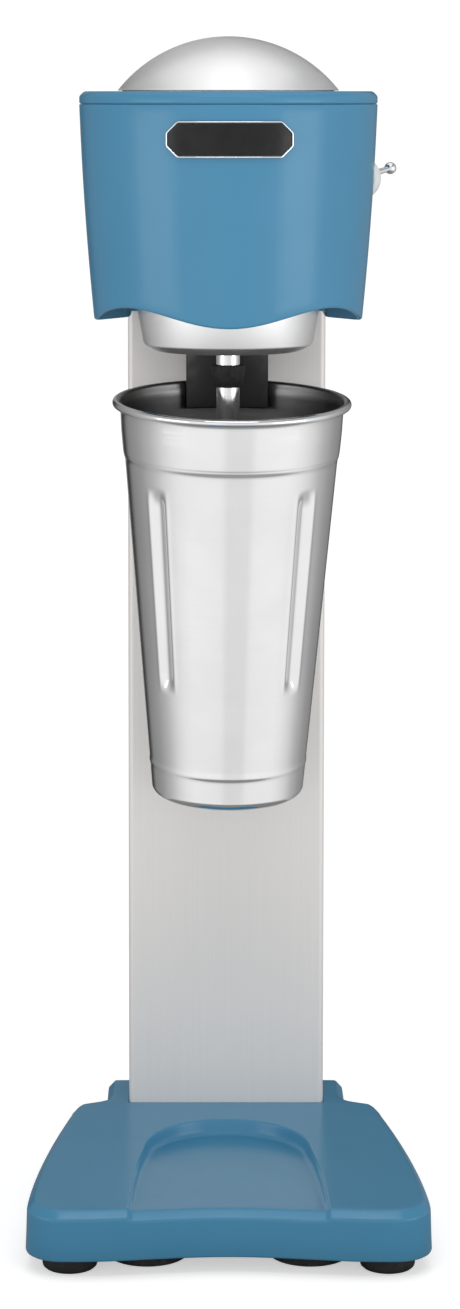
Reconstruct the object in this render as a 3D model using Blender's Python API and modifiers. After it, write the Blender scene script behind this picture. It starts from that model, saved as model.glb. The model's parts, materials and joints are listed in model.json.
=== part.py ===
"""Single-spindle milkshake mixer, modelled as separate sub-parts.

Blender units are metres and +Z is up. Sizes below are in millimetres and pass through mm().
Every piece hangs from one empty on the front face of the column, so Y = 0 is that face
and -Y is towards the user. The empty is placed so that the world origin lies on the
counter, under the middle of the whole mixer.
"""
import math

import bmesh
import bpy
from mathutils import Vector

MM = 0.001
GAP = 0.3               # clearance between touching pieces
MERGE = 0.00002         # merge distance, in metres
LARGE = 36              # sides of a large round piece
SMALL = 16              # sides of a small round piece

# Overall size and the main stations
TOP_Z = 509.5
BASE_FRONT = 138.7      # ahead of the column's front face
BASE_BACK = 37.6        # behind it
SPINDLE_Y = -60.0

# Base
BASE_BOTTOM = 7.4
BASE_TOP_BACK = 32.0
BASE_TOP_FRONT = 28.5
BASE_WALL = 3.2
BASE_CEILING = 21.4          # of the hollow underneath
BASE_HALF_WIDTH = 84.4
BACK_HALF_WIDTH = 54.5  # of the part beside the column
RECESS_FLOOR_BACK = 24.6      # at the arch of the recess, 22 mm ahead of the column
RECESS_FLOOR_FRONT = 27.4     # at the front edge
FEET = {
    "front_foot_left": (-66.0, -121.0, 11.5),
    "front_foot_right": (66.0, -121.0, 11.5),
    "rear_foot_left": (-44.6, 21.0, 7.8),
    "rear_foot_right": (44.6, 21.0, 7.8),
    "suction_foot_left": (-34.0, -106.0, 17.0),
    "suction_foot_right": (34.0, -106.0, 17.0),
}

# Column
COLUMN_HALF_WIDTH = 43.75
COLUMN_DEPTH = 30.0
COLUMN_SHEET = 1.5
COLUMN_BOTTOM = 12.0
COLUMN_TOP = 480.9
COVER_LOW = 16.0
COVER_HIGH = 478.0
COVER_REACH = 2.2       # from the back of the column to the face of the cover, with room to spare
BOLT_Y = 14.0
COVER_SCREWS = ((-34.0, 60.0), (34.0, 60.0), (-34.0, 462.0), (34.0, 462.0))

# Head
HEAD_TOP = 486.5
LIP_Z = 481.2
HEAD_BOTTOM = 390.0
HEAD_RADIUS = 62.8
HEAD_WALL = 2.2
NECK_Y = -41.0
WAVE_HEIGHT = 7.5
WAVE_ANGLE = 94.0       # degrees from one trough of the wavy hem to the next

# Motor case
DOME_RADIUS = 59.3
CASE_RADIUS = 44.6
CASE_SHEET = 1.5
CASE_SPLIT = 455.0

# Spindle
SPINDLE_RADIUS = 5.0
THREAD_RADIUS = 2.5
BORE_RADIUS = 5.3
AGITATOR_Z = 206.0

# Mixing cup, whose profile is measured down from the plane of its rim
CUP_RIM = (1.65, -59.4, 354.8)
CUP_TILT = 4.8
CUP_LEAN = 0.55
CUP_SHEET = 0.8
CUP_DEPTH = 171.0
RIM_RING = 49.15
RIM_BEAD = 1.65
FLUTE_DEPTH = 2.4

# Toggle switch, on the right rear wall of the head
TOGGLE_Z = 449.7
TOGGLE_X = 55.4
TOGGLE_TILT = 12.0      # lever above the switch's axis, at rest


def mm(*lengths):
    """Millimetres to a vector in metres."""
    return Vector(length * MM for length in lengths)


# ---------------------------------------------------------------- scene and materials

def clear_scene():
    for item in list(bpy.data.objects):
        bpy.data.objects.remove(item, do_unlink=True)


def new_collection(name):
    made = bpy.data.collections.new(name)
    bpy.context.scene.collection.children.link(made)
    return made


def new_material(name, colour, metallic, roughness):
    made = bpy.data.materials.new(name)
    made.use_nodes = True
    shader = made.node_tree.nodes["Principled BSDF"]
    shader.inputs["Base Color"].default_value = (*colour, 1.0)
    shader.inputs["Metallic"].default_value = metallic
    shader.inputs["Roughness"].default_value = roughness
    return made


clear_scene()
PARTS = new_collection("milkshake_mixer")
CUTTERS = new_collection("cutters")
ORIGIN = bpy.data.objects.new("column_front", None)
ORIGIN.location = mm(0, (BASE_FRONT - BASE_BACK) / 2, 0)
PARTS.objects.link(ORIGIN)

BLUE = new_material("blue_plastic", (0.085, 0.285, 0.46), 0.0, 0.35)
BLACK = new_material("black_plastic", (0.012, 0.012, 0.013), 0.0, 0.4)
RUBBER = new_material("black_rubber", (0.02, 0.02, 0.02), 0.0, 0.8)
GREY_RUBBER = new_material("grey_rubber", (0.6, 0.61, 0.62), 0.0, 0.6)
SATIN = new_material("satin_aluminium", (0.6, 0.6, 0.61), 1.0, 0.42)
BRUSHED = new_material("brushed_stainless", (0.55, 0.55, 0.55), 1.0, 0.38)
POLISHED = new_material("polished_stainless", (0.72, 0.72, 0.72), 1.0, 0.12)
CHROME = new_material("chrome", (0.8, 0.8, 0.8), 1.0, 0.08)
ZINC = new_material("zinc_plated_steel", (0.5, 0.5, 0.48), 1.0, 0.4)
LAMINATION = new_material("laminated_steel", (0.3, 0.3, 0.31), 0.9, 0.5)
COPPER = new_material("copper", (0.6, 0.26, 0.12), 1.0, 0.35)
CARBON = new_material("carbon", (0.05, 0.05, 0.05), 0.1, 0.6)


# ---------------------------------------------------------------- shapes

def place(name, mesh, finish, location=(0, 0, 0), rotation=(0, 0, 0)):
    """A mesh as a named piece under the origin. A piece with no finish is a cutter."""
    made = bpy.data.objects.new(name, mesh)
    made.parent = ORIGIN
    made.location = mm(*location)
    made.rotation_euler = rotation
    if finish is None:
        CUTTERS.objects.link(made)
        made.hide_render = True
        made.display_type = "WIRE"
    else:
        PARTS.objects.link(made)
        mesh.materials.append(finish)
        mesh.shade_smooth()
        mesh.set_sharp_from_angle(angle=math.radians(35))
    return made


def mesh_of(bm, name):
    bmesh.ops.remove_doubles(bm, verts=bm.verts, dist=MERGE)
    mesh = bpy.data.meshes.new(name)
    bm.to_mesh(mesh)
    bm.free()
    return mesh


def box(name, low, high, finish=None, bevel=0.0):
    """A block between two corners, with its vertical and horizontal edges rounded."""
    size = [b - a for a, b in zip(low, high)]
    middle = [(a + b) / 2 for a, b in zip(low, high)]
    bm = bmesh.new()
    bmesh.ops.create_cube(bm, size=1.0)
    bmesh.ops.scale(bm, vec=mm(*size), verts=bm.verts)
    made = place(name, mesh_of(bm, name), finish, middle)
    if bevel:
        edge = made.modifiers.new("edges", "BEVEL")
        edge.width = bevel * MM
        edge.segments = 2
    return made


def rod(name, radius, start, end, finish=None, sides=SMALL):
    """A straight cylinder from one point to another."""
    along = mm(*end) - mm(*start)
    bm = bmesh.new()
    bmesh.ops.create_cone(bm, cap_ends=True, segments=sides, radius1=radius * MM,
                          radius2=radius * MM, depth=along.length)
    turn = along.to_track_quat("Z", "Y").to_euler()
    middle = [(a + b) / 2 for a, b in zip(start, end)]
    return place(name, mesh_of(bm, name), finish, middle, turn)


def turned(name, profile, finish=None, location=(0, 0, 0), rotation=(0, 0, 0), sides=LARGE):
    """A profile of (radius, height) points turned about its own Z axis.

    The profile runs down the outer side. One that starts and ends on the axis is a solid,
    and any other is closed into a ring.
    """
    bm = bmesh.new()
    points = [bm.verts.new(mm(radius, 0, height)) for radius, height in profile]
    for first, second in zip(points, points[1:]):
        bm.edges.new((first, second))
    if profile[0][0] > 0 or profile[-1][0] > 0:
        bm.edges.new((points[-1], points[0]))
    made = place(name, mesh_of(bm, name), finish, location, rotation)
    screw = made.modifiers.new("turn", "SCREW")
    screw.steps = sides
    screw.render_steps = sides
    screw.use_merge_vertices = True
    screw.merge_threshold = MERGE
    return made


def plate(name, outlines, low, high, finish=None, rotation=(0, 0, 0), location=(0, 0, 0)):
    """A flat outline, with any holes after it, extruded from one height to another."""
    curve = bpy.data.curves.new(name, "CURVE")
    curve.dimensions = "2D"
    curve.fill_mode = "BOTH"
    curve.extrude = (high - low) / 2 * MM
    for outline in outlines:
        spline = curve.splines.new("POLY")
        spline.points.add(len(outline) - 1)
        for point, (x, y) in zip(spline.points, outline):
            point.co = (x * MM, y * MM, 0, 1)
        spline.use_cyclic_u = True
    drawn = bpy.data.objects.new(name + "_curve", curve)
    CUTTERS.objects.link(drawn)
    evaluated = drawn.evaluated_get(bpy.context.evaluated_depsgraph_get())
    mesh = bpy.data.meshes.new_from_object(evaluated)
    bpy.data.objects.remove(drawn, do_unlink=True)
    mesh.name = name
    bm = bmesh.new()
    bm.from_mesh(mesh)
    bmesh.ops.remove_doubles(bm, verts=bm.verts, dist=MERGE)
    bmesh.ops.translate(bm, vec=mm(0, 0, (low + high) / 2), verts=bm.verts)
    bm.to_mesh(mesh)
    bm.free()
    mesh.materials.clear()
    return place(name, mesh, finish, location, rotation)


def loft(name, rings, finish=None, closed=True, capped=True, location=(0, 0, 0), rotation=(0, 0, 0)):
    """Faces between successive rings of points, which run counter-clockwise seen from above."""
    bm = bmesh.new()
    rows = [[bm.verts.new(mm(*point)) for point in ring] for ring in rings]
    count = len(rows[0])
    for low, high in zip(rows, rows[1:]):
        for i in range(count if closed else count - 1):
            j = (i + 1) % count
            bm.faces.new((low[i], low[j], high[j], high[i]))
    if capped:
        bm.faces.new(rows[0][::-1])
        bm.faces.new(rows[-1])
    return place(name, mesh_of(bm, name), finish, location, rotation)


def combine(target, other, operation):
    step = target.modifiers.new(operation.lower(), "BOOLEAN")
    step.operation = operation
    step.object = other
    step.solver = "EXACT"


def cut(target, *others):
    for other in others:
        combine(target, other, "DIFFERENCE")


def join(target, *others):
    for other in others:
        combine(target, other, "UNION")


def arc(radius, start, end, steps, centre=(0, 0)):
    """Points on an arc, from one angle in degrees to another."""
    angles = [math.radians(start + (end - start) * i / steps) for i in range(steps + 1)]
    return [(centre[0] + radius * math.cos(a), centre[1] + radius * math.sin(a)) for a in angles]


def circle(radius, centre=(0, 0), sides=SMALL):
    return arc(radius, 0, 360, sides, centre)[:-1]


def rounded_box(half_width, front, back, radius, steps=3):
    """A rectangle about X = 0 with round corners, counter-clockwise."""
    x, low, high = half_width - radius, front + radius, back - radius
    return (arc(radius, 180, 270, steps, (-x, low)) + arc(radius, 270, 360, steps, (x, low))
            + arc(radius, 0, 90, steps, (x, high)) + arc(radius, 90, 180, steps, (-x, high)))


def inset(outline, distance):
    """A closed counter-clockwise outline moved inwards along its corners' bisectors."""
    moved = []
    count = len(outline)
    for i, point in enumerate(outline):
        here = Vector(point)
        into = (here - Vector(outline[i - 1])).normalized()
        out_of = (Vector(outline[(i + 1) % count]) - here).normalized()
        side = Vector((-(into + out_of).y, (into + out_of).x)).normalized()
        reach = max(side.dot(Vector((-into.y, into.x))), 0.5)
        moved.append(tuple(here + side * (distance / reach)))
    return moved


def mirrored(half):
    """A half outline on the +X side, front to back, made whole and counter-clockwise."""
    return list(half) + [(-x, y) for x, y in reversed(half)]


# ---------------------------------------------------------------- base

def base_side(y):
    """Half width of the base beside a given station: it narrows towards the column."""
    share = min(max((-y - 8.0) / 115.8, 0.0), 1.0)
    return BASE_HALF_WIDTH - 14.4 * (1.0 - share) ** 1.6


def base_outline():
    """Plan of the base, with a hollow front edge, round front corners and a narrow back."""
    corner, back_corner = 16.0, 4.0
    front = [(x, -BASE_FRONT + 6.0 * math.cos(math.radians(90.0 * x / 66.0)) ** 2)
             for x in (11.0, 22.0, 33.0, 44.0, 55.0)]
    corner_arc = arc(corner, 280, 360, 5, (BASE_HALF_WIDTH - corner, -BASE_FRONT + corner))
    sides = [(base_side(y), y) for y in (-104.0, -84.0, -64.0, -44.0, -26.0, -6.0)]
    shoulder = [(66.8, 0.8), (57.0, 4.8), (BACK_HALF_WIDTH, 7.6)]
    back = arc(back_corner, 0, 90, 3, (BACK_HALF_WIDTH - back_corner, BASE_BACK - back_corner))
    return mirrored(front + corner_arc + sides + shoulder + back)


def base_top(y):
    """Height of the top face, which slopes gently down to the front."""
    share = min(max(-y / BASE_FRONT, 0.0), 1.0)
    return BASE_TOP_BACK + (BASE_TOP_FRONT - BASE_TOP_BACK) * share


def recess_floor(y):
    """Height of the recess's floor, which rises gently to the front."""
    arch_y = -22.0
    share = (arch_y - y) / (BASE_FRONT + arch_y)
    return RECESS_FLOOR_BACK + (RECESS_FLOOR_FRONT - RECESS_FLOOR_BACK) * share


def make_base():
    outline = base_outline()
    rings = [[(x, y, BASE_BOTTOM) for x, y in outline]]
    for distance, drop in ((0.7, 3.6), (1.7, 1.2), (3.6, 0.0)):
        rings.append([(x, y, base_top(y) - drop) for x, y in inset(outline, distance)])
    shell = loft("base_shell", rings, BLUE)

    arch = [(x, -58.5 + y) for x, y in arc(35.6, 20, 160, 10)]
    recess = [(-41.3, -150.0), (41.3, -150.0), (41.0, -125.0), (39.4, -88.0), (37.4, -66.0)]
    recess += arch + [(-37.4, -66.0), (-39.4, -88.0), (-41.0, -125.0)]
    floor = [(x, y, recess_floor(y)) for x, y in recess]
    sky = [(x, y, 60.0) for x, y in recess]
    cut(shell,
        loft("cup_recess", [floor, sky]),
        plate("base_cavity", [inset(outline, BASE_WALL)], 0.0, BASE_CEILING),
        box("column_socket", (-COLUMN_HALF_WIDTH - GAP, -GAP, 0.0),
            (COLUMN_HALF_WIDTH + GAP, COLUMN_DEPTH + COVER_REACH, 60.0)))

    holes = [circle(3.0, (x, y), 12) for x, y, _ in FEET.values()]
    holes += [circle(3.3, (x, BOLT_Y), 12) for x in (-30.0, 30.0)]
    plate("base_bottom_plate", [inset(outline, BASE_WALL + 0.5)] + holes, 7.9, 9.4, ZINC)


def make_feet():
    """Rubber feet, each pushed through the bottom plate by its own stem."""
    for name, (x, y, radius) in FEET.items():
        profile = [(0, 11.6), (2.6, 11.6), (2.6, 7.5), (radius - 1.2, 7.5), (radius, 6.0),
                   (radius, 2.0), (radius - 1.5, 0.0), (0, 0.0)]
        turned(name, profile, RUBBER, (x, y, 0), sides=18)


# ---------------------------------------------------------------- column

def column_path():
    """The folded sheet in plan: a front, two sides and two lips at the back."""
    x, r = COLUMN_HALF_WIDTH, 2.5
    left = [(-30.0, COLUMN_DEPTH)] + arc(r, 90, 180, 3, (r - x, COLUMN_DEPTH - r))
    return left + arc(r, 180, 270, 3, (r - x, r)) + arc(r, 270, 360, 3, (x - r, r)) + [
        (-px, py) for px, py in reversed(left)]


def make_column():
    path = column_path()
    rings = [[(x, y, z) for x, y in path] for z in (COLUMN_BOTTOM, COLUMN_TOP)]
    column = loft("column_channel", rings, BRUSHED, closed=False, capped=False)
    sheet = column.modifiers.new("sheet", "SOLIDIFY")
    sheet.thickness = COLUMN_SHEET * MM
    sheet.offset = -1.0
    sheet.use_even_offset = True
    for i, x in enumerate((-14.0, 14.0)):
        cut(column, rod(f"rest_hole_{i}", 1.9, (x, -2, 181), (x, 3, 181), sides=10))
    for i, (x, z) in enumerate(COVER_SCREWS):
        front, back = (x, COLUMN_DEPTH - 3, z), (x, COLUMN_DEPTH + 2, z)
        cut(column, rod(f"cover_hole_{i}", 1.9, front, back, sides=10))
    cut(column, rod("wire_hole", 5.0, (24, -2, 441), (24, 3, 441)))

    slots = [rounded_box(22.0, z, z + 4.0, 1.9, 2) for z in range(382, 452, 12)]
    holes = [circle(1.9, point, 10) for point in COVER_SCREWS]
    holes.append(circle(6.3, (0, 72.0), 20))
    outline = rounded_box(40.5, COVER_LOW, COVER_HIGH, 4.0)
    plate("column_rear_cover", [outline] + slots + holes, -1.5, -0.3, BRUSHED,
          (math.pi / 2, 0, 0), (0, COLUMN_DEPTH, 0))
    for i, (x, z) in enumerate(COVER_SCREWS):
        screw = [(0, 2.0), (1.6, 1.8), (2.9, 0.4), (2.9, 0.0), (1.5, 0.0), (1.5, -6.0), (0, -6.0)]
        turned(f"rear_cover_screw_{i + 1}", screw, ZINC, (x, COLUMN_DEPTH + 1.8, z),
               (-math.pi / 2, 0, 0), 12)
    gland = [(9.0, 3.4), (9.0, 0.0), (6.0, 0.0), (6.0, -4.5), (4.0, -4.5), (4.0, 4.6), (7.6, 4.6)]
    turned("cord_gland", gland, RUBBER, (0, COLUMN_DEPTH + 1.8, 72), (-math.pi / 2, 0, 0), 20)

    foot = box("column_foot_bracket", (-41.0, 3.0, 9.7), (41.0, 25.0, 11.7), ZINC)
    for i, side in enumerate((-1, 1)):
        ends = sorted((side * 39.9, side * 41.9))
        tab = box(f"foot_tab_{i}", (ends[0], 4.0, 10.0), (ends[1], 24.0, 38.0))
        join(foot, tab)
        cut(foot, rod(f"bolt_hole_{i}", 3.3, (side * 30, BOLT_Y, 5), (side * 30, BOLT_Y, 14)))
    for name, x in (("column_bolt_left", -30.0), ("column_bolt_right", 30.0)):
        bolt = [(0, 16.0), (5.5, 16.0), (5.5, 12.0), (3.0, 12.0), (3.0, 5.4), (0, 5.4)]
        turned(name, bolt, ZINC, (x, BOLT_Y, 0), sides=12)


def make_cup_rest():
    """The ledge that carries the back of the cup's bottom, square to the tilted cup."""
    slope = math.tan(math.radians(CUP_TILT))
    top = CUP_RIM[2] - CUP_DEPTH * math.cos(math.radians(CUP_TILT)) - 0.5
    middle = CUP_RIM[1] + CUP_DEPTH * math.sin(math.radians(CUP_TILT))
    front, back = -36.0, -GAP
    side = [(-back, 176.0), (-front, 179.5), (-front, top + slope * (front - middle)),
            (-back, top + slope * (back - middle))]
    rest = plate("cup_rest", [side[::-1]], -20.0, 20.0, ZINC, (math.pi / 2, 0, -math.pi / 2))
    for i, x in enumerate((-14.0, 14.0)):
        cut(rest, rod(f"rest_bore_{i}", 1.9, (x, -30, 181), (x, 2, 181), sides=10),
            rod(f"rest_counterbore_{i}", 3.6, (x, -60, 181), (x, -6, 181), sides=12))
    for name, x in (("cup_rest_screw_left", -14.0), ("cup_rest_screw_right", 14.0)):
        screw = [(0, 2.4), (1.8, 2.2), (3.0, 0.4), (3.0, 0.0), (1.5, 0.0), (1.5, -12.0), (0, -12.0)]
        turned(name, screw, ZINC, (x, -6.3, 181), (math.pi / 2, 0, 0), 12)


# ---------------------------------------------------------------- head

def head_radius(z):
    """Radius of the head's round front, which narrows slightly towards the hem."""
    down = LIP_Z - z
    return HEAD_RADIUS - 0.036 * down - 0.00035 * down ** 2


def head_plan(radius, back, flanges):
    """Plan of the head: round front, walls that taper to a neck, and the neck's sides."""
    front = arc(radius, 180, 360, 24, (0, SPINDLE_Y))
    neck = [(COLUMN_HALF_WIDTH, NECK_Y), (COLUMN_HALF_WIDTH, back)]
    if flanges:
        neck.append((33.0, back))
    return [(-x, y) for x, y in reversed(neck)] + front + neck


def hem(x, y):
    """Height of the wavy lower edge of the head at a point of its plan."""
    if y > SPINDLE_Y:
        return HEAD_BOTTOM
    angle = math.degrees(math.atan2(x, SPINDLE_Y - y))
    return HEAD_BOTTOM + WAVE_HEIGHT * (1.0 - math.cos(math.radians(360.0 * angle / WAVE_ANGLE))) / 2.0


def make_head():
    top = LIP_Z - GAP
    rings = []
    for share in (0.0, 0.25, 0.5, 0.75, 1.0):
        ring = []
        for x, y in head_plan(HEAD_RADIUS, -GAP, True):
            low = hem(x, y)
            z = low + (top - low) * share
            pull = head_radius(z) / HEAD_RADIUS
            if y <= SPINDLE_Y:
                x, y = x * pull, SPINDLE_Y + (y - SPINDLE_Y) * pull
            ring.append((x, y, z))
        rings.append(ring)
    shell = loft("head_shell", rings, BLUE, closed=False, capped=False)
    wall = shell.modifiers.new("wall", "SOLIDIFY")
    wall.thickness = HEAD_WALL * MM
    wall.offset = -1.0
    wall.use_even_offset = True
    cut(shell, toggle_rod("toggle_hole", 4.4, -6.0, 6.0))

    outline = head_plan(HEAD_RADIUS, COLUMN_DEPTH + COVER_REACH, False)
    cover = loft("head_top_cover", [[(x, y, LIP_Z) for x, y in outline],
                                    [(x, y, HEAD_TOP - 2.0) for x, y in outline],
                                    [(x, y, HEAD_TOP) for x, y in inset(outline, 2.0)]], BLUE)
    cut(cover, plate("cover_pocket", [inset(outline, 2.6)], 470.0, HEAD_TOP - 2.6),
        rod("dome_hole", CASE_RADIUS + 0.4, (0, SPINDLE_Y, 470), (0, SPINDLE_Y, 500), sides=LARGE))
    for name, x in (("top_cover_screw_left", -32.0), ("top_cover_screw_right", 32.0)):
        cut(cover, rod(name + "_hole", 1.9, (x, 14, 470), (x, 14, 500), sides=10))
        screw = [(0, 2.0), (1.6, 1.8), (2.9, 0.4), (2.9, 0.0), (1.5, 0.0), (1.5, -9.0), (0, -9.0)]
        turned(name, screw, ZINC, (x, 14, HEAD_TOP + GAP), sides=12)


def nameplate_band(name, inner, outer, low, high, finish):
    """A curved band that follows the front of the head, before it is trimmed to its outline."""
    profile = [(head_radius(high) + outer, high), (head_radius(low) + outer, low),
               (head_radius(low) + inner, low), (head_radius(high) + inner, high)]
    return turned(name, profile, finish, (0, SPINDLE_Y, 0), sides=72)


def octagon(half_width, half_height, corner):
    x, z = half_width, half_height
    return [(x, z - corner), (x - corner, z), (corner - x, z), (-x, z - corner),
            (-x, corner - z), (corner - x, -z), (x - corner, -z), (x, corner - z)]


def make_nameplate():
    """A blank black plate in a thin bright frame. Both are octagons seen from the front."""
    upright, middle = (math.pi / 2, 0, 0), (0, 0, 467.0)
    frame = nameplate_band("nameplate_frame", 0.3, 1.5, 459.5, 474.5, CHROME)
    rim = plate("frame_trim", [octagon(26.0, 7.5, 4.7), octagon(25.2, 6.7, 4.3)[::-1]],
                70.0, 140.0, None, upright, middle)
    combine(frame, rim, "INTERSECT")
    face = nameplate_band("nameplate", 0.3, 1.2, 459.5, 474.5, BLACK)
    trim = plate("plate_trim", [octagon(24.9, 6.4, 4.2)], 70.0, 140.0, None, upright, middle)
    combine(face, trim, "INTERSECT")


# ---------------------------------------------------------------- motor case and motor

def dome_curve(radius, edge, steps):
    """Points on the dome's sphere from its crown out to a given radius."""
    centre = TOP_Z - DOME_RADIUS
    reach = math.degrees(math.asin(edge / radius))
    angles = [math.radians(reach * i / steps) for i in range(steps + 1)]
    return [(radius * math.sin(a), centre + radius * math.cos(a)) for a in angles]


def make_motor_case():
    wall = CASE_RADIUS - CASE_SHEET
    seat_z = HEAD_TOP + GAP
    outer = dome_curve(DOME_RADIUS, 46.4, 8)
    inner = dome_curve(DOME_RADIUS - 2.5, wall - 0.4, 5)[2:]
    boss = [(14.0, 489.0), (11.3, 489.0), (11.3, 498.0), (0, 498.0)]
    shape = outer + [(46.7, seat_z), (CASE_RADIUS, seat_z), (CASE_RADIUS, CASE_SPLIT + GAP),
                     (wall, CASE_SPLIT + GAP)] + inner[::-1] + boss
    turned("motor_dome", shape, SATIN, (0, SPINDLE_Y, 0))

    outer = [(CASE_RADIUS, CASE_SPLIT), (CASE_RADIUS, 429.0), (38.3, 394.2), (35.8, 380.3), (30.7, 377.3)]
    inner = [(BORE_RADIUS + 0.4, 377.3), (BORE_RADIUS + 0.4, 383.0), (11.3, 383.0), (11.3, 391.0),
             (14.0, 391.0), (14.0, 380.5), (33.0, 380.5), (36.5, 394.2), (wall, 429.0), (wall, CASE_SPLIT)]
    turned("motor_cone", outer + inner, SATIN, (0, SPINDLE_Y, 0))

    bracket = box("motor_bracket", (-30.0, -2.7, 402.0), (30.0, -0.6, 470.0), ZINC)
    for low in (432.0, 448.0):
        join(bracket, box(f"bracket_web_{low:.0f}", (-28.0, -30.0, low), (28.0, -1.5, low + 2.5)))
    low, high = (0, SPINDLE_Y, 400), (0, SPINDLE_Y, 475)
    clearance = rod("case_clearance", CASE_RADIUS + GAP, low, high, sides=LARGE)
    cut(bracket, clearance, rod("bracket_wire_hole", 5.0, (24, -5, 441), (24, 3, 441)))


def make_motor():
    axis = (0, SPINDLE_Y, 0)
    shoulder, tip = AGITATOR_Z + 1.5, AGITATOR_Z - 9.0
    shaft = [(0, 497.5), (4.0, 497.5), (4.0, 425.0), (SPINDLE_RADIUS, 424.0), (SPINDLE_RADIUS, shoulder),
             (THREAD_RADIUS, shoulder), (THREAD_RADIUS, tip), (0, tip)]
    turned("motor_shaft", shaft, POLISHED, axis, sides=20)
    turned("upper_bearing", ring(11.0, 4.3, 489.5, 496.5), CHROME, axis, sides=20)
    turned("lower_bearing", ring(11.0, BORE_RADIUS, 383.4, 390.4), CHROME, axis, sides=20)
    turned("commutator", ring(13.0, 4.3, 475.0, 487.0), COPPER, axis, sides=24)
    turned("armature_winding", ring(20.0, 4.3, 462.4, 471.0), COPPER, axis, sides=24)
    slots = [point for i in range(12)
             for point in (polar(24.0, 30 * i + 3), polar(24.0, 30 * i + 27), polar(19.0, 30 * i + 28.5),
                           polar(19.0, 30 * i + 31.5))]
    plate("armature_core", [slots, circle(4.3, sides=12)], 430.0, 462.0, LAMINATION, location=axis)
    bore = (arc(33.6, -38, 38, 6) + arc(25.0, 42, 138, 8) + arc(33.6, 142, 218, 6) + arc(25.0, 222, 318, 8))
    plate("stator_core", [circle(42.6, sides=32), bore], 430.0, 462.0, LAMINATION, location=axis)
    for name, middle in (("field_coil_right", 0), ("field_coil_left", 180)):
        sector = arc(33.0, middle - 35, middle + 35, 6) + arc(27.0, middle + 35, middle - 35, 6)
        plate(name, [sector], 426.0, 466.0, COPPER, location=axis)
    blades = [point for i in range(9)
              for point in (polar(9.0, 40 * i - 12), polar(34.0, 40 * i - 6), polar(35.0, 40 * i + 4),
                            polar(9.0, 40 * i + 12))]
    plate("cooling_fan", [blades, circle(BORE_RADIUS, sides=12)], 410.0, 418.0, BLACK, location=axis)
    for side, name in ((-1, "left"), (1, "right")):
        reach = sorted((side * 17.0, side * 41.0))
        holder = box(f"brush_holder_{name}", (reach[0], SPINDLE_Y - 4.5, 476.5),
                     (reach[1], SPINDLE_Y + 4.5, 485.5), BLACK)
        inner = sorted((side * 10.0, side * 37.0))
        cut(holder, box(f"brush_slot_{name}", (inner[0], SPINDLE_Y - 2.8, 478.2),
                        (inner[1], SPINDLE_Y + 2.8, 483.8)))
        tip = sorted((side * 13.4, side * 28.0))
        box(f"brush_{name}", (tip[0], SPINDLE_Y - 2.4, 478.6), (tip[1], SPINDLE_Y + 2.4, 483.4), CARBON)


def ring(outer, inner, low, high):
    """The profile of a plain ring or bush."""
    return [(outer, high), (outer, low), (inner, low), (inner, high)]


def hex_nut(name, corner_radius, bore, low, high, finish, location, rotation=(0, 0, 0)):
    outlines = [circle(corner_radius, sides=6), circle(bore)]
    return plate(name, outlines, low, high, finish, rotation, location)


def polar(radius, degrees):
    angle = math.radians(degrees)
    return (radius * math.cos(angle), radius * math.sin(angle))


def make_spindle():
    axis = (0, SPINDLE_Y, 0)
    slinger = [(7.4, 371.0), (6.05, 361.6), (BORE_RADIUS, 361.6), (BORE_RADIUS, 371.0)]
    turned("splash_slinger", slinger, RUBBER, axis, sides=24)
    low = AGITATOR_Z
    blade = [(6.0, low + 1.2), (13.0, low - 1.6), (13.0, low - 2.8), (6.0, low), (2.8, low),
             (2.8, low + 1.2)]
    turned("agitator_disc", blade, POLISHED, axis, sides=24)
    hex_nut("agitator_nut", 4.6, 2.8, low - 4.4, low - 0.4, POLISHED, axis)


# ---------------------------------------------------------------- toggle switch

def toggle_normal():
    """Outward direction of the tapered wall that carries the switch, in plan."""
    along = Vector((COLUMN_HALF_WIDTH - head_radius(TOGGLE_Z), NECK_Y - SPINDLE_Y, 0))
    return Vector((along.y, -along.x, 0)).normalized()


def toggle_point(reach, tilt=0.0):
    """A point this far out from the wall's face, along an axis tilted up by so many degrees."""
    share = (head_radius(TOGGLE_Z) - TOGGLE_X) / (head_radius(TOGGLE_Z) - COLUMN_HALF_WIDTH)
    foot = Vector((TOGGLE_X, SPINDLE_Y + share * (NECK_Y - SPINDLE_Y), TOGGLE_Z))
    angle = math.radians(tilt)
    return tuple(foot + toggle_normal() * reach * math.cos(angle) + Vector((0, 0, reach * math.sin(angle))))


def toggle_turn(tilt=0.0):
    """Rotation that stands a turned shape's Z axis along the switch's axis."""
    toward = Vector(toggle_point(1.0, tilt)) - Vector(toggle_point(0.0))
    return toward.to_track_quat("Z", "Y").to_euler()


def toggle_rod(name, radius, start, end):
    return rod(name, radius, toggle_point(start), toggle_point(end))


def make_toggle():
    foot, turn = toggle_point(0.0), toggle_turn()
    body = [(5.4, -2.6), (5.4, -9.5), (0, -9.5)]
    bush = [(0, -3.4), (2.9, -3.4), (2.9, 3.4), (4.0, 3.4), (4.0, -2.6)]
    turned("toggle_body", bush + body, ZINC, foot, turn, 20)
    hex_nut("toggle_nut", 6.0, 4.35, 0.5, 2.4, ZINC, foot, turn)
    dome_outer = [(3.8, 8.6), (5.8, 7.8), (7.8, 6.0), (8.8, 3.6), (8.9, 0.5)]
    dome_inner = [(7.6, 0.5), (7.6, 3.2), (6.7, 5.0), (5.0, 6.6), (3.8, 7.3)]
    turned("toggle_boot", dome_outer + dome_inner, GREY_RUBBER, foot, turn, 20)
    radius, reach = 2.55, 19.6
    ball = [(radius * math.sin(a), reach + radius * math.cos(a))
            for a in (math.radians(22.5 * i) for i in range(7))]
    lever = ball + [(1.25, 16.8), (1.6, 8.0), (1.6, -1.0), (0, -1.6)]
    turned("toggle_lever", lever, CHROME, foot, toggle_turn(TOGGLE_TILT), SMALL)


# ---------------------------------------------------------------- cup guide and its switch

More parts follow.
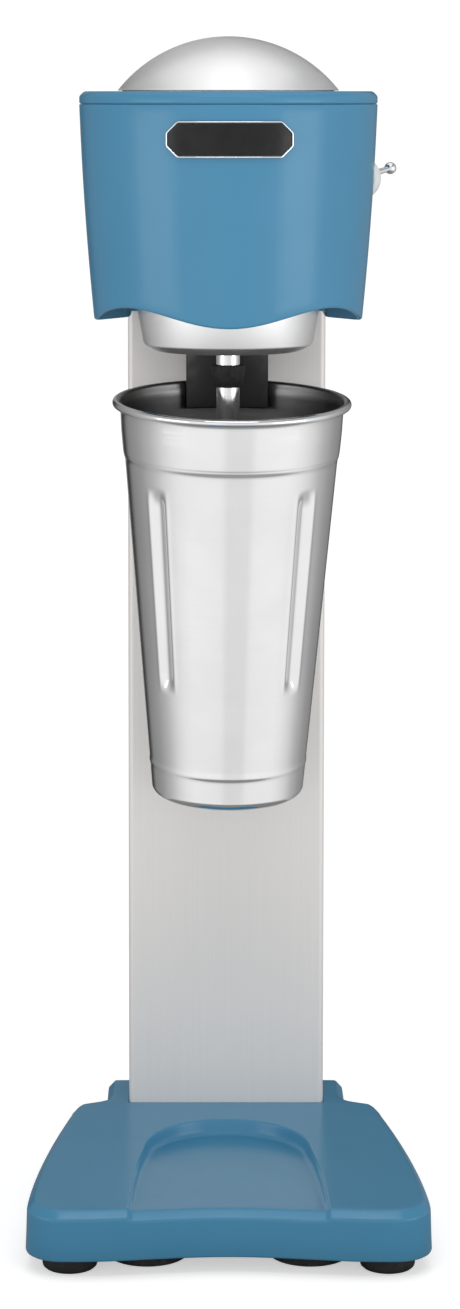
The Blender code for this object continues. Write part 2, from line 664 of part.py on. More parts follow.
def guide_outline(outer, half_width, back=None):
    """An arc that follows the inside of the cup's rim, closed by an arc or a straight back."""
    centre = (0, -59.0)

    def side(radius, steps=8):
        reach = math.degrees(math.asin(half_width / radius))
        return arc(radius, 90 + reach, 90 - reach, steps, centre)

    front = side(outer - 3.0)
    if back is None:
        return (front + side(outer)[::-1])[::-1]
    return (front + [(half_width, back), (-half_width, back)])[::-1]


def make_cup_guide():
    guide = plate("cup_guide", [guide_outline(45.2, 17.9, -0.4)], 368.0, 389.5, BLACK)
    tongue = plate("guide_tongue", [guide_outline(45.2, 17.9)], 348.5, 369.0)
    join(guide, tongue)
    cut(guide, box("guide_cavity", (-15.4, -13.8, 340.0), (15.4, 2.0, 387.0)))

    foot = box("switch_actuator", (-4.5, -13.0, 361.1), (4.5, -7.4, 371.5), BLACK)
    join(foot, box("actuator_bar", (-13.0, -13.0, 371.0), (13.0, -5.0, 374.0)))
    body = box("microswitch_body", (-0.5, -13.2, 380.0), (14.5, -3.5, 386.6), BLACK)
    cut(body, rod("plunger_bore", 2.1, (6, -9, 375), (6, -9, 384.6)))
    rod("microswitch_plunger", 1.7, (6, -9, 374.4), (6, -9, 381.8), RUBBER, 12)
    make_spring("actuator_spring", (-8.5, -9.2), 374.9, 386.1, 2.6, 0.45, 4)


def make_spring(name, centre, low, high, radius, wire, turns):
    """A helical wire, standing on end."""
    per_turn = 10
    count = per_turn * turns + 1
    curve = bpy.data.curves.new(name, "CURVE")
    curve.dimensions = "3D"
    curve.bevel_depth = wire * MM
    curve.bevel_resolution = 2
    curve.use_fill_caps = True
    spline = curve.splines.new("POLY")
    spline.points.add(count - 1)
    for i, point in enumerate(spline.points):
        angle = math.tau * i / per_turn
        height = low + (high - low) * i / (count - 1)
        x, y = centre[0] + radius * math.cos(angle), centre[1] + radius * math.sin(angle)
        point.co = (*mm(x, y, height), 1)
    curve.materials.append(CHROME)
    made = bpy.data.objects.new(name, curve)
    made.parent = ORIGIN
    PARTS.objects.link(made)


# ---------------------------------------------------------------- mixing cup

def cup_profile():
    """Outer radius against depth below the rim, from the bottom up to the rolled rim."""
    corner = [(25.8 + x, CUP_DEPTH - 8.0 - y) for x, y in arc(8.0, -90, 0, 3)]
    band = [(34.0, 159.0), (34.6, 156.0), (34.15, 153.0)]
    wall = [(45.2 - 0.0863 * (t - 24.0), t) for t in (122.0, 116.0, 106.0, 75.0, 46.0, 36.0, 30.0, 24.2)]
    shoulder = [(45.9, 22.0), (46.25, 20.5), (47.3, 3.0)]
    return corner + band + wall + shoulder


def flute(t):
    """How deep the flutes are at a given depth below the rim, as a share of their full depth."""
    low, high, run = 33.0, 119.0, 10.0
    share = min((t - low) / run, (high - t) / run)
    return math.sin(math.pi / 2 * min(max(share, 0.0), 1.0))


def cup_angles():
    """Angles of the cup's sides in degrees, each with its share of a flute's depth."""
    steps = [(-6, 0.0), (-3, 0.75), (0, 1.0), (3, 0.75), (6, 0.0)]
    steps += [(6 + 13 * i, 0.0) for i in range(1, 6)]
    return [(45 + 90 * quarter + turn, share) for quarter in range(4) for turn, share in steps]


def make_cup():
    outside = [(r, t, FLUTE_DEPTH * flute(t)) for r, t in cup_profile()]
    bead = [(RIM_RING + RIM_BEAD * math.cos(math.radians(a)), -RIM_BEAD * math.sin(math.radians(a)), 0.0)
            for a in range(-135, 181, 45)]
    inside = [(r - CUP_SHEET, min(t, CUP_DEPTH - CUP_SHEET), depth) for r, t, depth in reversed(outside)]
    rings = []
    for radius, t, depth in outside + bead + inside:
        ring_points = []
        for degrees, share in cup_angles():
            x, y = polar(radius - depth * share, degrees)
            ring_points.append((x, y, -t))
        rings.append(ring_points)
    turn = (math.radians(CUP_TILT), math.radians(CUP_LEAN), 0)
    loft("mixing_cup", rings, POLISHED, location=CUP_RIM, rotation=turn)


make_base()
make_feet()
make_column()
make_cup_rest()
make_head()
make_nameplate()
make_motor_case()
make_motor()
make_spindle()
make_toggle()
make_cup_guide()
make_cup()
bpy.context.view_layer.update()
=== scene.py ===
"""Looks of the milkshake mixer: fine meshes, materials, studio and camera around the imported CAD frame.

Lengths are in millimetres unless a name says otherwise, in a frame whose Y = 0 is the front
face of the column and whose -Y points at the user. at() turns them into the frame's metres.
"""
import json
import math

import bmesh
import bpy
import numpy as np
from mathutils import Matrix, Vector
from mathutils.geometry import delaunay_2d_cdt


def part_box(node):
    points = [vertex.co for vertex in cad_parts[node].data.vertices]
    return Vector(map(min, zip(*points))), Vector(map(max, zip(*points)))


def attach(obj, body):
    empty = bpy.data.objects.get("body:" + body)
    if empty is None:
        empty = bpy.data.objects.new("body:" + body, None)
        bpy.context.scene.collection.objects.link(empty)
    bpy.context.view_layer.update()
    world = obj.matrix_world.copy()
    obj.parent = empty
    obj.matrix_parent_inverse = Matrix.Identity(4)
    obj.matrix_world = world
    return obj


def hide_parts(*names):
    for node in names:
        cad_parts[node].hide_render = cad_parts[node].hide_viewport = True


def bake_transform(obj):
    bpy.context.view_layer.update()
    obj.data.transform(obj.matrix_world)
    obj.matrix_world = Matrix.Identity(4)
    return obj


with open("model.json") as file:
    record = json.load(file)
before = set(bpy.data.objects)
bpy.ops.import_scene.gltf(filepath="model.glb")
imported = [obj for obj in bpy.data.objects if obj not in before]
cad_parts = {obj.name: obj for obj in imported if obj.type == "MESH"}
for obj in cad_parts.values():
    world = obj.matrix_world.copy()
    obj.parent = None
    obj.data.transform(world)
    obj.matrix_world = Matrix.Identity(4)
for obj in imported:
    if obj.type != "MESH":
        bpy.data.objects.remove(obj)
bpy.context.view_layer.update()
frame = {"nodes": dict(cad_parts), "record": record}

MM = 0.001
WELD_DISTANCE = 0.000002  # in metres
COLUMN_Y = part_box("column_channel")[0].y  # front face of the column, in metres
SPINDLE_Y = (sum(corner.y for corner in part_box("motor_shaft")) / 2 - COLUMN_Y) / MM
TOP_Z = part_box("motor_dome")[1].z / MM
LIP_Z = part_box("head_top_cover")[0].z / MM
HEAD_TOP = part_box("head_top_cover")[1].z / MM
BASE_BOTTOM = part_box("base_shell")[0].z / MM
BASE_FRONT = (COLUMN_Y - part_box("base_shell")[0].y) / MM
BASE_BACK = (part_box("base_shell")[1].y - COLUMN_Y) / MM
BASE_HALF_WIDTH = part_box("base_shell")[1].x / MM
COLUMN_HALF_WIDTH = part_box("column_channel")[1].x / MM
COLUMN_DEPTH = (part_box("column_channel")[1].y - COLUMN_Y) / MM

scene = bpy.context.scene
scene.view_settings.view_transform = "Standard"


# ---- meshes

def at(x, y, z):
    return Vector((x * MM, y * MM + COLUMN_Y, z * MM))


def piece(name, points, faces, material, body, replaces=(), sharp=40.0, local=None):
    """A mesh piece from points in millimetres. local places points given in a turned frame."""
    points = np.asarray(points, float)
    if local is not None:
        points = points @ np.array(local.to_3x3()).T + np.array(local.translation)
    points = points * MM + np.array([0.0, COLUMN_Y, 0.0])
    mesh = bpy.data.meshes.new(name)
    mesh.from_pydata(points.tolist(), [], faces)
    bm = bmesh.new()
    bm.from_mesh(mesh)
    bmesh.ops.remove_doubles(bm, verts=bm.verts, dist=WELD_DISTANCE)
    bmesh.ops.dissolve_degenerate(bm, edges=bm.edges, dist=WELD_DISTANCE / 2)
    bmesh.ops.delete(bm, geom=[edge for edge in bm.edges if not edge.link_faces], context="EDGES")
    bmesh.ops.recalc_face_normals(bm, faces=bm.faces)
    bm.to_mesh(mesh)
    bm.free()
    mesh.validate()
    mesh.shade_smooth()
    mesh.set_sharp_from_angle(angle=math.radians(sharp))
    made = bpy.data.objects.new(name, mesh)
    scene.collection.objects.link(made)
    mesh.materials.append(MATERIALS[material])
    if body is not None:
        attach(made, body)
    for node in replaces:
        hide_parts(node)
    return made


def bevelled(made, width):
    edge = made.modifiers.new("edges", "BEVEL")
    edge.width = width * MM
    edge.segments = 3
    edge.angle_limit = math.radians(30.0)
    edge.harden_normals = True


def strip_faces(rows, columns, closed, start=0):
    """Quads between successive rows of points, which run counter-clockwise seen from above."""
    faces = []
    last = columns if closed else columns - 1
    for i in range(rows - 1):
        for j in range(last):
            k = (j + 1) % columns
            a = start + i * columns
            faces.append((a + j, a + k, a + columns + k, a + columns + j))
    return faces


def looped_faces(rows, columns):
    """Quads of closed rows of points whose last row joins the first."""
    last = (rows - 1) * columns
    return strip_faces(rows, columns, True) + [(last + j, last + (j + 1) % columns, (j + 1) % columns, j)
                                               for j in range(columns)]


def capped_faces(rows, columns):
    faces = strip_faces(rows, columns, True)
    faces.append(tuple(range(columns))[::-1])
    faces.append(tuple(range((rows - 1) * columns, rows * columns)))
    return faces


def revolve(profile, centre, sides):
    """Points and faces of a closed (radius, height) profile turned about a vertical axis.

    The profile runs up the outer side and back down the inner one, or ends on the axis.
    """
    profile = np.asarray(profile, float)
    angles = np.arange(sides) * math.tau / sides
    ring = np.stack([np.cos(angles), np.sin(angles)], 1)
    points = np.concatenate([
        np.concatenate([ring * radius + np.array(centre[:2]), np.full((sides, 1), height + centre[2])], 1)
        for radius, height in profile])
    solid = profile[0][0] < 1e-6 and profile[-1][0] < 1e-6
    faces = strip_faces(len(profile), sides, True) if solid else looped_faces(len(profile), sides)
    return points, faces


def turned(name, profile, sides, material, body, node, sharp, centre=(0.0, 0.0, 0.0), local=None):
    """A piece that stands for one node and is a profile turned about a vertical axis."""
    points, faces = revolve(profile, centre, sides)
    return piece(name, points, faces, material, body, [node], sharp=sharp, local=local)


def arc(radius, start, end, steps, centre=(0.0, 0.0)):
    angles = np.radians(np.linspace(start, end, steps + 1))
    return [(centre[0] + radius * math.cos(a), centre[1] + radius * math.sin(a)) for a in angles]


def circle(radius, sides, centre):
    return np.array(arc(radius, 0, 360, sides, centre)[:-1])


def smooth_path(path, closed, sigma):
    """A dense outline with its corners rounded by a running average; open ends stay put."""
    path = np.asarray(path, float)
    reach = int(4 * sigma)
    weights = np.exp(-0.5 * (np.arange(-reach, reach + 1) / sigma) ** 2)
    weights /= weights.sum()
    if closed:
        padded = np.concatenate([path[-reach:], path, path[:reach]])
    else:
        before = 2 * path[0] - path[1:reach + 1][::-1]
        after = 2 * path[-1] - path[-reach - 1:-1][::-1]
        padded = np.concatenate([before, path, after])
    return np.stack([np.convolve(padded[:, k], weights, "valid") for k in (0, 1)], 1)


def resample(path, spacing, closed=False):
    """An outline with evenly spaced points."""
    path = np.asarray(path, float)
    if closed:
        path = np.concatenate([path, path[:1]])
    steps = np.hypot(*np.diff(path, axis=0).T)
    along = np.concatenate([[0.0], np.cumsum(steps)])
    count = max(int(round(along[-1] / spacing)), 2)
    want = np.linspace(0.0, along[-1], count + 1)
    if closed:
        want = want[:-1]
    return np.stack([np.interp(want, along, path[:, k]) for k in (0, 1)], 1)


def inward(path, closed):
    """Unit normals to the left of a path, which is inwards on a counter-clockwise one."""
    if closed:
        run = np.roll(path, -1, 0) - np.roll(path, 1, 0)
    else:
        run = np.gradient(path, axis=0)
    run /= np.maximum(np.hypot(run[:, 0], run[:, 1])[:, None], 1e-9)
    return np.stack([-run[:, 1], run[:, 0]], 1)


def at_height(path, heights):
    """Plan points with a height, or with one height each."""
    return np.concatenate([path, np.broadcast_to(heights, len(path))[:, None]], 1)


def inset_ring(outline, distance):
    """A closed outline moved inwards, smoothed so that tight corners don't fold over."""
    moved = outline + inward(outline, True) * distance
    return smooth_path(moved, True, 1.2 * distance) if distance > 1.0 else moved


def inside_outline(points, outline):
    """Whether each point lies inside a closed outline."""
    inside = np.zeros(len(points), bool)
    for (x0, y0), (x1, y1) in zip(outline, np.roll(outline, -1, 0)):
        if y0 == y1:
            continue
        crosses = ((y0 > points[:, 1]) != (y1 > points[:, 1]))
        at_x = x0 + (points[:, 1] - y0) * (x1 - x0) / (y1 - y0)
        inside ^= crosses & (points[:, 0] < at_x)
    return inside


def triangulated(verts, edges, tolerance, outline, holes):
    """Plan points and the triangles between them that lie inside an outline and outside its holes."""
    points, _, triangles, *_ = delaunay_2d_cdt(verts, edges, [], 0, tolerance)
    points = np.array([tuple(p) for p in points])
    triangles = np.array([tuple(t) for t in triangles])
    middle = points[triangles].mean(1)
    keep = inside_outline(middle, outline)
    for hole in holes:
        keep &= ~inside_outline(middle, hole)
    return points, triangles[keep]


def filled(outline, holes):
    """Plan points and triangles of the area between an outline and the holes in it."""
    verts, edges = [], []
    for ring in [outline] + list(holes):
        first, count = len(verts), len(ring)
        verts += [Vector(p) for p in ring]
        edges += [(first + i, first + (i + 1) % count) for i in range(count)]
    return triangulated(verts, edges, 1e-6, outline, holes)


def rings_from_outline(outline, profile):
    """Rows of points from a closed outline and (inset, height) pairs."""
    return np.concatenate([at_height(inset_ring(outline, distance), height) for distance, height in profile])


def edge_profile(low, high, radius, steps=4):
    """(inset, height) pairs of a slab whose top and bottom edges are rounded."""
    bottom = [(radius - x, low + radius + y) for x, y in arc(radius, 270, 360, steps)]
    top = [(radius - x, high - radius + y) for x, y in arc(radius, 0, 90, steps)]
    return bottom + top


def rounded_box(half_width, front, back, radius, steps=6):
    x, low, high = half_width - radius, front + radius, back - radius
    return np.array(arc(radius, 180, 270, steps, (-x, low)) + arc(radius, 270, 360, steps, (x, low))
                    + arc(radius, 0, 90, steps, (x, high)) + arc(radius, 90, 180, steps, (-x, high)))


def turn(origin, toward):
    """A frame whose Z axis points from origin to toward."""
    rotation = (Vector(toward) - Vector(origin)).to_track_quat("Z", "Y").to_matrix().to_4x4()
    return Matrix.Translation(Vector(origin)) @ rotation


# ---- materials

MATERIALS = {}
SLOTS = {"blue": "blue_plastic", "black": "black_plastic", "badge": "badge_black", "rubber": "black_rubber",
         "grey_rubber": "grey_rubber", "satin": "satin_aluminium", "brushed": "brushed_stainless",
         "polished": "polished_stainless", "chrome": "chrome", "zinc": "zinc_plated_steel",
         "lamination": "laminated_steel", "copper": "copper", "carbon": "carbon"}


def shader_node(tree, kind, **values):
    """A node of a kind, with values for the inputs of those names."""
    node = tree.nodes.new("ShaderNode" + kind)
    for socket, value in values.items():
        node.inputs[socket.replace("_", " ")].default_value = value
    return node


class Look:
    """A Principled material and the nodes that give it its texture."""

    def __init__(self, name, roughness, metallic=0.0, **sockets):
        self.material = bpy.data.materials.new(name)
        self.material.use_nodes = True
        self.tree = self.material.node_tree
        self.shader = self.tree.nodes["Principled BSDF"]
        self.shader.inputs["Metallic"].default_value = metallic
        self.shader.inputs["Roughness"].default_value = roughness
        for socket, value in sockets.items():
            self.shader.inputs[socket.replace("_", " ")].default_value = value
        self.coordinates = shader_node(self.tree, "TexCoord")
        MATERIALS[name] = self.material

    def noise(self, scale, detail=3.0, stretch=(1.0, 1.0, 1.0), roughness=0.5):
        mapping = shader_node(self.tree, "Mapping", Scale=stretch)
        self.tree.links.new(self.coordinates.outputs["Object"], mapping.inputs["Vector"])
        noise = shader_node(self.tree, "TexNoise", Scale=scale, Detail=detail, Roughness=roughness)
        self.tree.links.new(mapping.outputs["Vector"], noise.inputs["Vector"])
        return noise.outputs["Fac"]

    def colour(self, source, dark, light, low=0.35, high=0.65):
        """Runs from the dark colour to the light one as the source runs from low to high."""
        ramp = shader_node(self.tree, "ValToRGB")
        for stop, position, colour in zip(ramp.color_ramp.elements, (low, high), (dark, light)):
            stop.position = position
            stop.color = (*colour, 1.0)
        self.tree.links.new(source, ramp.inputs["Fac"])
        self.tree.links.new(ramp.outputs["Color"], self.shader.inputs["Base Color"])

    def roughness(self, source, smooth, rough, low=0.35, high=0.65):
        spread = shader_node(self.tree, "MapRange", From_Min=low, From_Max=high, To_Min=smooth, To_Max=rough)
        self.tree.links.new(source, spread.inputs["Value"])
        self.tree.links.new(spread.outputs["Result"], self.shader.inputs["Roughness"])

    def bump(self, source, height):
        """Bumps that follow the source, with their height in millimetres."""
        bump = shader_node(self.tree, "Bump", Strength=1.0, Distance=height * MM)
        self.tree.links.new(source, bump.inputs["Height"])
        self.tree.links.new(bump.outputs["Normal"], self.shader.inputs["Normal"])


def grey(value):
    return (value, value, value)


def speckled(name, shader, colour_noise, colours, roughness_noise, roughnesses, bump=None, **sockets):
    """A look whose colour, roughness and bumps follow noises, each given as (scale, detail).

    shader is its (roughness, metallic), and bump has the height in millimetres as its third value.
    """
    look = Look(name, *shader, **sockets)
    look.colour(look.noise(*colour_noise), *colours)
    look.roughness(look.noise(*roughness_noise), *roughnesses)
    if bump is not None:
        look.bump(look.noise(*bump[:2]), bump[2])


def make_materials():
    speckled("blue", (0.25, 0.0), (30, 3), ((0.064, 0.254, 0.424), (0.067, 0.261, 0.434)),
             (90, 3), (0.21, 0.27), (1100, 2, 0.003), Specular_IOR_Level=0.36)
    speckled("black", (0.38, 0.0), (80, 3), ((0.009, 0.009, 0.010), (0.016, 0.016, 0.017)),
             (200, 3), (0.33, 0.45), (1400, 2, 0.01))
    speckled("badge", (0.22, 0.0), (150, 3), ((0.005, 0.005, 0.006), (0.009, 0.009, 0.010)),
             (300, 2), (0.18, 0.26), Specular_IOR_Level=0.3)
    speckled("rubber", (0.7, 0.0), (200, 4), (grey(0.010), (0.020, 0.020, 0.021)),
             (500, 3), (0.62, 0.8), (2200, 3, 0.02))
    speckled("grey_rubber", (0.55, 0.0), (300, 3), (grey(0.74), grey(0.82)),
             (500, 3), (0.5, 0.65), (1800, 3, 0.02))
    speckled("satin", (0.36, 0.9), (60, 4), ((0.93, 0.93, 0.935), (0.97, 0.97, 0.975)),
             (700, 3), (0.33, 0.40), (3000, 2, 0.004))
    speckled("chrome", (0.06, 1.0), (90, 2), (grey(0.80), grey(0.84)), (900, 3), (0.04, 0.10))
    speckled("zinc", (0.35, 1.0), (250, 4), ((0.52, 0.53, 0.54), (0.62, 0.62, 0.60)),
             (500, 3), (0.28, 0.42), (2500, 2, 0.004))
    speckled("carbon", (0.55, 0.0), (900, 3), (grey(0.03), grey(0.07)),
             (400, 3), (0.45, 0.65), (1800, 3, 0.02))

    brushed = Look("brushed", 0.48, 0.25)
    grain = brushed.noise(1.0, 3, (3200, 3200, 12), 0.65)
    brushed.colour(grain, (0.770, 0.748, 0.728), (0.800, 0.778, 0.758))
    brushed.roughness(grain, 0.44, 0.52)
    brushed.bump(grain, 0.0015)

    polished = Look("polished", 0.10, 1.0)
    lines = polished.noise(1.0, 3, (14, 14, 2600), 0.6)
    polished.colour(polished.noise(35, 3), grey(0.77), grey(0.81))
    polished.roughness(lines, 0.07, 0.16)
    polished.bump(lines, 0.0012)

    # Inside of the cup: the same steel with a darker base colour, which is painted shade of the cup's hollow;
    # the rougher finish stands for its brushed inside.
    inside = Look("cup_inside_painted_shade", 0.35, 1.0)
    inside.colour(inside.noise(40, 3), grey(0.28), grey(0.34))
    inside.roughness(inside.noise(1.0, 3, (14, 14, 2600), 0.6), 0.28, 0.40)

    lamination = Look("lamination", 0.5, 0.9)
    sheets = lamination.noise(1.0, 2, (20, 20, 2200))
    lamination.colour(sheets, (0.16, 0.16, 0.17), (0.34, 0.34, 0.35))
    lamination.roughness(lamination.noise(300, 3), 0.4, 0.6)
    lamination.bump(sheets, 0.05)

    copper = Look("copper", 0.34, 1.0)
    wire = copper.noise(1.0, 2, (60, 60, 1500))
    copper.colour(wire, (0.42, 0.15, 0.06), (0.68, 0.30, 0.14))
    copper.roughness(copper.noise(300, 3), 0.26, 0.4)
    copper.bump(wire, 0.08)


def finish_cad_nodes():
    """Gives each CAD node that stays the procedural material of its slot."""
    by_slot = {slot: key for key, slot in SLOTS.items()}
    for part in frame["record"]["subparts"]:
        node = frame["nodes"][part["node"]]
        node.data.materials.clear()
        node.data.materials.append(MATERIALS[by_slot[part["material_slot"]]])
        for face in node.data.polygons:
            face.material_index = 0


# ---- base

BASE_WALL = 2.6
BASE_TOP_BACK = 32.0
BASE_TOP_FRONT = 28.5
RECESS_FLOOR_BACK = 24.6
RECESS_FLOOR_FRONT = 27.4
RECESS_BACK_Y = -22.0
BASE_CEILING = 21.4
BACK_HALF_WIDTH = 54.5  # of the part beside the column
GLAND_Z = 72.0
SCREW_HEAD = 2.0  # height of the head
SCREW_AXES = {"rear": (0.0, 1.0, 0.0), "cup": (0.0, -1.0, 0.0), "top": (0.0, 0.0, 1.0)}
SOCKET = (44.05, -0.3, 32.2)  # half width, front and back of the hole for the column


def mirrored(half):
    return list(half) + [(-x, y) for x, y in reversed(half)]


def base_outline():
    """Plan of the base, with a hollow front edge, round front corners and a narrow back."""
    def side(y):
        share = min(max((-y - 8.0) / 115.8, 0.0), 1.0)
        return BASE_HALF_WIDTH - 14.4 * (1.0 - share) ** 1.6

    corner = 16.0
    front = [(x, -BASE_FRONT + 6.0 * math.cos(math.radians(90.0 * x / 66.0)) ** 2)
             for x in np.linspace(0.5, 66.0, 60)]
    around = arc(corner, 276, 360, 16, (BASE_HALF_WIDTH - corner, -BASE_FRONT + corner))
    sides = [(side(y), y) for y in np.linspace(-118.0, -6.0, 50)]
    shoulder = [(66.8, 0.8), (57.0, 4.8), (BACK_HALF_WIDTH, 7.6)]
    back = arc(4.0, 0, 90, 8, (BACK_HALF_WIDTH - 4.0, BASE_BACK - 4.0))
    outline = resample(mirrored(front + around + sides + shoulder + back), 0.5, True)
    return smooth_path(outline, True, 2.4)


def recess_outline():
    """Plan of the cup recess: an arch round the spindle with sides that flare to the front."""
    radius, centre = 35.9, -59.0
    side = [(41.8 - 5.9 * math.exp((y - centre) / 32.0), y) for y in np.linspace(-160.0, centre - 1, 90)]
    path = side + arc(radius, 0, 180, 80, (0.0, centre)) + [(-x, y) for x, y in reversed(side)]
    return smooth_path(resample(path, 0.5), False, 5.0)


def signed_distance(points, path):
    """Distance of each point from a path, positive on its left."""
    normal = inward(path, False)
    out = np.empty(len(points))
    for start in range(0, len(points), 4000):
        chunk = points[start:start + 4000]
        offsets = chunk[:, None, :] - path[None, :, :]
        nearest = np.argmin((offsets ** 2).sum(2), 1)
        step = offsets[np.arange(len(chunk)), nearest]
        out[start:start + 4000] = (step * normal[nearest]).sum(1)
    return out


def recess_depth_share(distance, depth):
    """Share of the recess's depth reached this far inside its outline: a round lip, a steep
    wall and a wide fillet."""
    lip, draft = 0.7, 0.7
    fillet = np.minimum(2.4, np.maximum(depth - lip - 0.1, 0.5))
    wall = np.maximum(depth - lip - fillet, 0.02)
    x = distance + lip
    drop = np.zeros_like(distance)
    on_lip = (x > 0) & (x <= lip)
    drop[on_lip] = (lip - np.sqrt(np.maximum(lip ** 2 - x ** 2, 0.0)))[on_lip]
    on_wall = (x > lip) & (x <= lip + draft)
    drop[on_wall] = (lip + wall * (x - lip) / draft)[on_wall]
    on_fillet = (x > lip + draft) & (x <= lip + draft + fillet)
    rest = lip + draft + fillet - x
    drop[on_fillet] = (depth - fillet + np.sqrt(np.maximum(fillet ** 2 - rest ** 2, 0.0)))[on_fillet]
    drop[x > lip + draft + fillet] = depth[x > lip + draft + fillet]
    return drop


def base_height(points, recess):
    """Height of the top face, with the recess in it."""
    y = points[:, 1]
    plain = BASE_TOP_BACK + (BASE_TOP_FRONT - BASE_TOP_BACK) * np.clip(-y / BASE_FRONT, 0.0, 1.0)
    slope = (RECESS_BACK_Y - y) / (BASE_FRONT + RECESS_BACK_Y)
    floor = RECESS_FLOOR_BACK + (RECESS_FLOOR_FRONT - RECESS_FLOOR_BACK) * slope
    return plain - recess_depth_share(signed_distance(points, recess), plain - floor)


def top_triangles(rim, recess):
    """Plan points and triangles of the top face inside its rim, dense where it bends."""
    socket_x, socket_front, socket_back = SOCKET
    socket = resample([(-socket_x, socket_front), (socket_x, socket_front), (socket_x, socket_back),
                       (-socket_x, socket_back)], 1.5, True)
    chains = [(rim, True), (socket, True)]
    normal = inward(recess, False)
    core = inset_ring(rim, 0.35)
    for offset in (-1.4, -0.8, -0.6, -0.35, -0.15, 0.0, 0.12, 0.3, 0.5, 0.7, 1.0, 1.4, 1.9, 2.4, 2.9, 3.5):
        moved = recess + normal * offset
        moved = moved[inside_outline(moved, core)]
        chains.append((moved, False))
    xs, ys = np.meshgrid(np.arange(-86.0, 86.1, 2.4), np.arange(-140.0, 60.1, 2.4))
    grid = np.stack([xs.ravel() + 0.37, ys.ravel() + 0.21], 1)
    grid = grid[inside_outline(grid, inset_ring(rim, 1.2))]
    grid = grid[~inside_outline(grid, inset_ring(socket, -1.0))]
    reach = signed_distance(grid, recess)
    grid = grid[(reach < -2.2) | (reach > 4.3)]
    verts, edges = [], []
    for chain, closed in chains:
        first = len(verts)
        verts += [Vector(p) for p in chain]
        count = len(chain)
        gaps = np.hypot(*np.diff(chain, axis=0).T)
        edges += [(first + i, first + i + 1) for i in range(count - 1) if gaps[i] < 2.0]
        if closed:
            edges.append((first + count - 1, first))
    verts += [Vector(p) for p in grid]
    points, triangles = triangulated(verts, edges, 1e-5, rim, [socket])
    return points, triangles, socket


def make_base():
    outline = base_outline()
    recess = recess_outline()
    chamfer = [(0.55, 5.0), (0.6, 3.9), (0.68, 3.5), (0.85, 3.15), (1.15, 2.8), (2.9, 0.75), (3.15, 0.48),
               (3.5, 0.22), (3.95, 0.06), (4.5, 0.0)]
    rim = inset_ring(outline, chamfer[-1][0])
    rows = []
    side = [(BASE_WALL, BASE_CEILING), (BASE_WALL, BASE_BOTTOM + 0.5), (BASE_WALL - 0.4, BASE_BOTTOM),
            (0.8, BASE_BOTTOM), (0.3, BASE_BOTTOM + 0.3), (0.0, BASE_BOTTOM + 1.0), (0.3, 16.0)]
    for inset, height in side:
        rows.append(at_height(inset_ring(outline, inset), height))
    for inset, drop in chamfer:
        ring = inset_ring(outline, inset)
        rows.append(at_height(ring, base_height(ring, recess) - drop))
    sides = np.concatenate(rows)
    faces = strip_faces(len(rows), len(outline), True)
    plan, triangles, socket = top_triangles(rim, recess)
    top = at_height(plan, base_height(plan, recess))
    faces += [tuple(t) for t in (triangles + len(sides)).tolist()]
    points = np.concatenate([sides, top])

    faces += strip_faces(2, len(socket), True, len(points))
    points = np.concatenate([points, at_height(socket, BASE_CEILING),
                             at_height(socket, base_height(socket, recess))])
    flat, fill = filled(inset_ring(outline, BASE_WALL), [socket])
    faces += (fill + len(points)).tolist()
    points = np.concatenate([points, at_height(flat, BASE_CEILING)])
    piece("base_casting", points, faces, "blue", "frame", ["base_shell"], sharp=60)


def make_feet():
    for node in ("front_foot_left", "front_foot_right", "rear_foot_left", "rear_foot_right",
                 "suction_foot_left", "suction_foot_right"):
        low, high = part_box(node)
        centre = ((low.x + high.x) / 2 / MM, ((low.y + high.y) / 2 - COLUMN_Y) / MM, 0.0)
        radius = (high.x - low.x) / 2 / MM
        stem = [(0, 11.6), (2.3, 11.6), (2.6, 11.3), (2.6, 7.5)]
        if node.startswith("suction"):
            rim = [(radius - 3.5, 7.5), (radius - 2.4, 6.9), (radius - 1.8, 5.4), (radius - 0.3, 2.2),
                   (radius, 1.2), (radius, 0.3), (radius - 0.5, 0.0), (radius - 1.2, 0.05),
                   (radius - 3.5, 1.0), (radius * 0.5, 1.9), (0, 2.1)]
        else:
            rim = [(radius - 1.6, 7.5), (radius - 0.7, 7.2), (radius - 0.25, 6.4), (radius, 5.2),
                   (radius, 1.9), (radius - 0.3, 0.9), (radius - 1.2, 0.1), (radius - 2.0, 0.0),
                   (radius - 4.0, 0.0), (radius - 4.4, 0.5), (0, 0.6)]
        turned(node + "_rubber", (stem + rim)[::-1], 72, "rubber", "frame", node, 50, centre)


# ---- column

def make_column():
    r, x, sheet = 2.5, COLUMN_HALF_WIDTH, 1.5
    half = [(-30.0, COLUMN_DEPTH)] + arc(r, 90, 180, 8, (r - x, COLUMN_DEPTH - r))
    path = half + arc(r, 180, 270, 8, (r - x, r))
    path = np.array(path + [(-px, py) for px, py in reversed(path)])
    low, high = (corner.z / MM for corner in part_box("column_channel"))
    normal = inward(path, False)
    outline = np.concatenate([path, (path + normal * sheet)[::-1]])
    points = np.concatenate([at_height(outline, low), at_height(outline, high)])
    piece("column_sheet", points, capped_faces(2, len(outline)), "brushed", "frame", ["column_channel"],
          sharp=35)


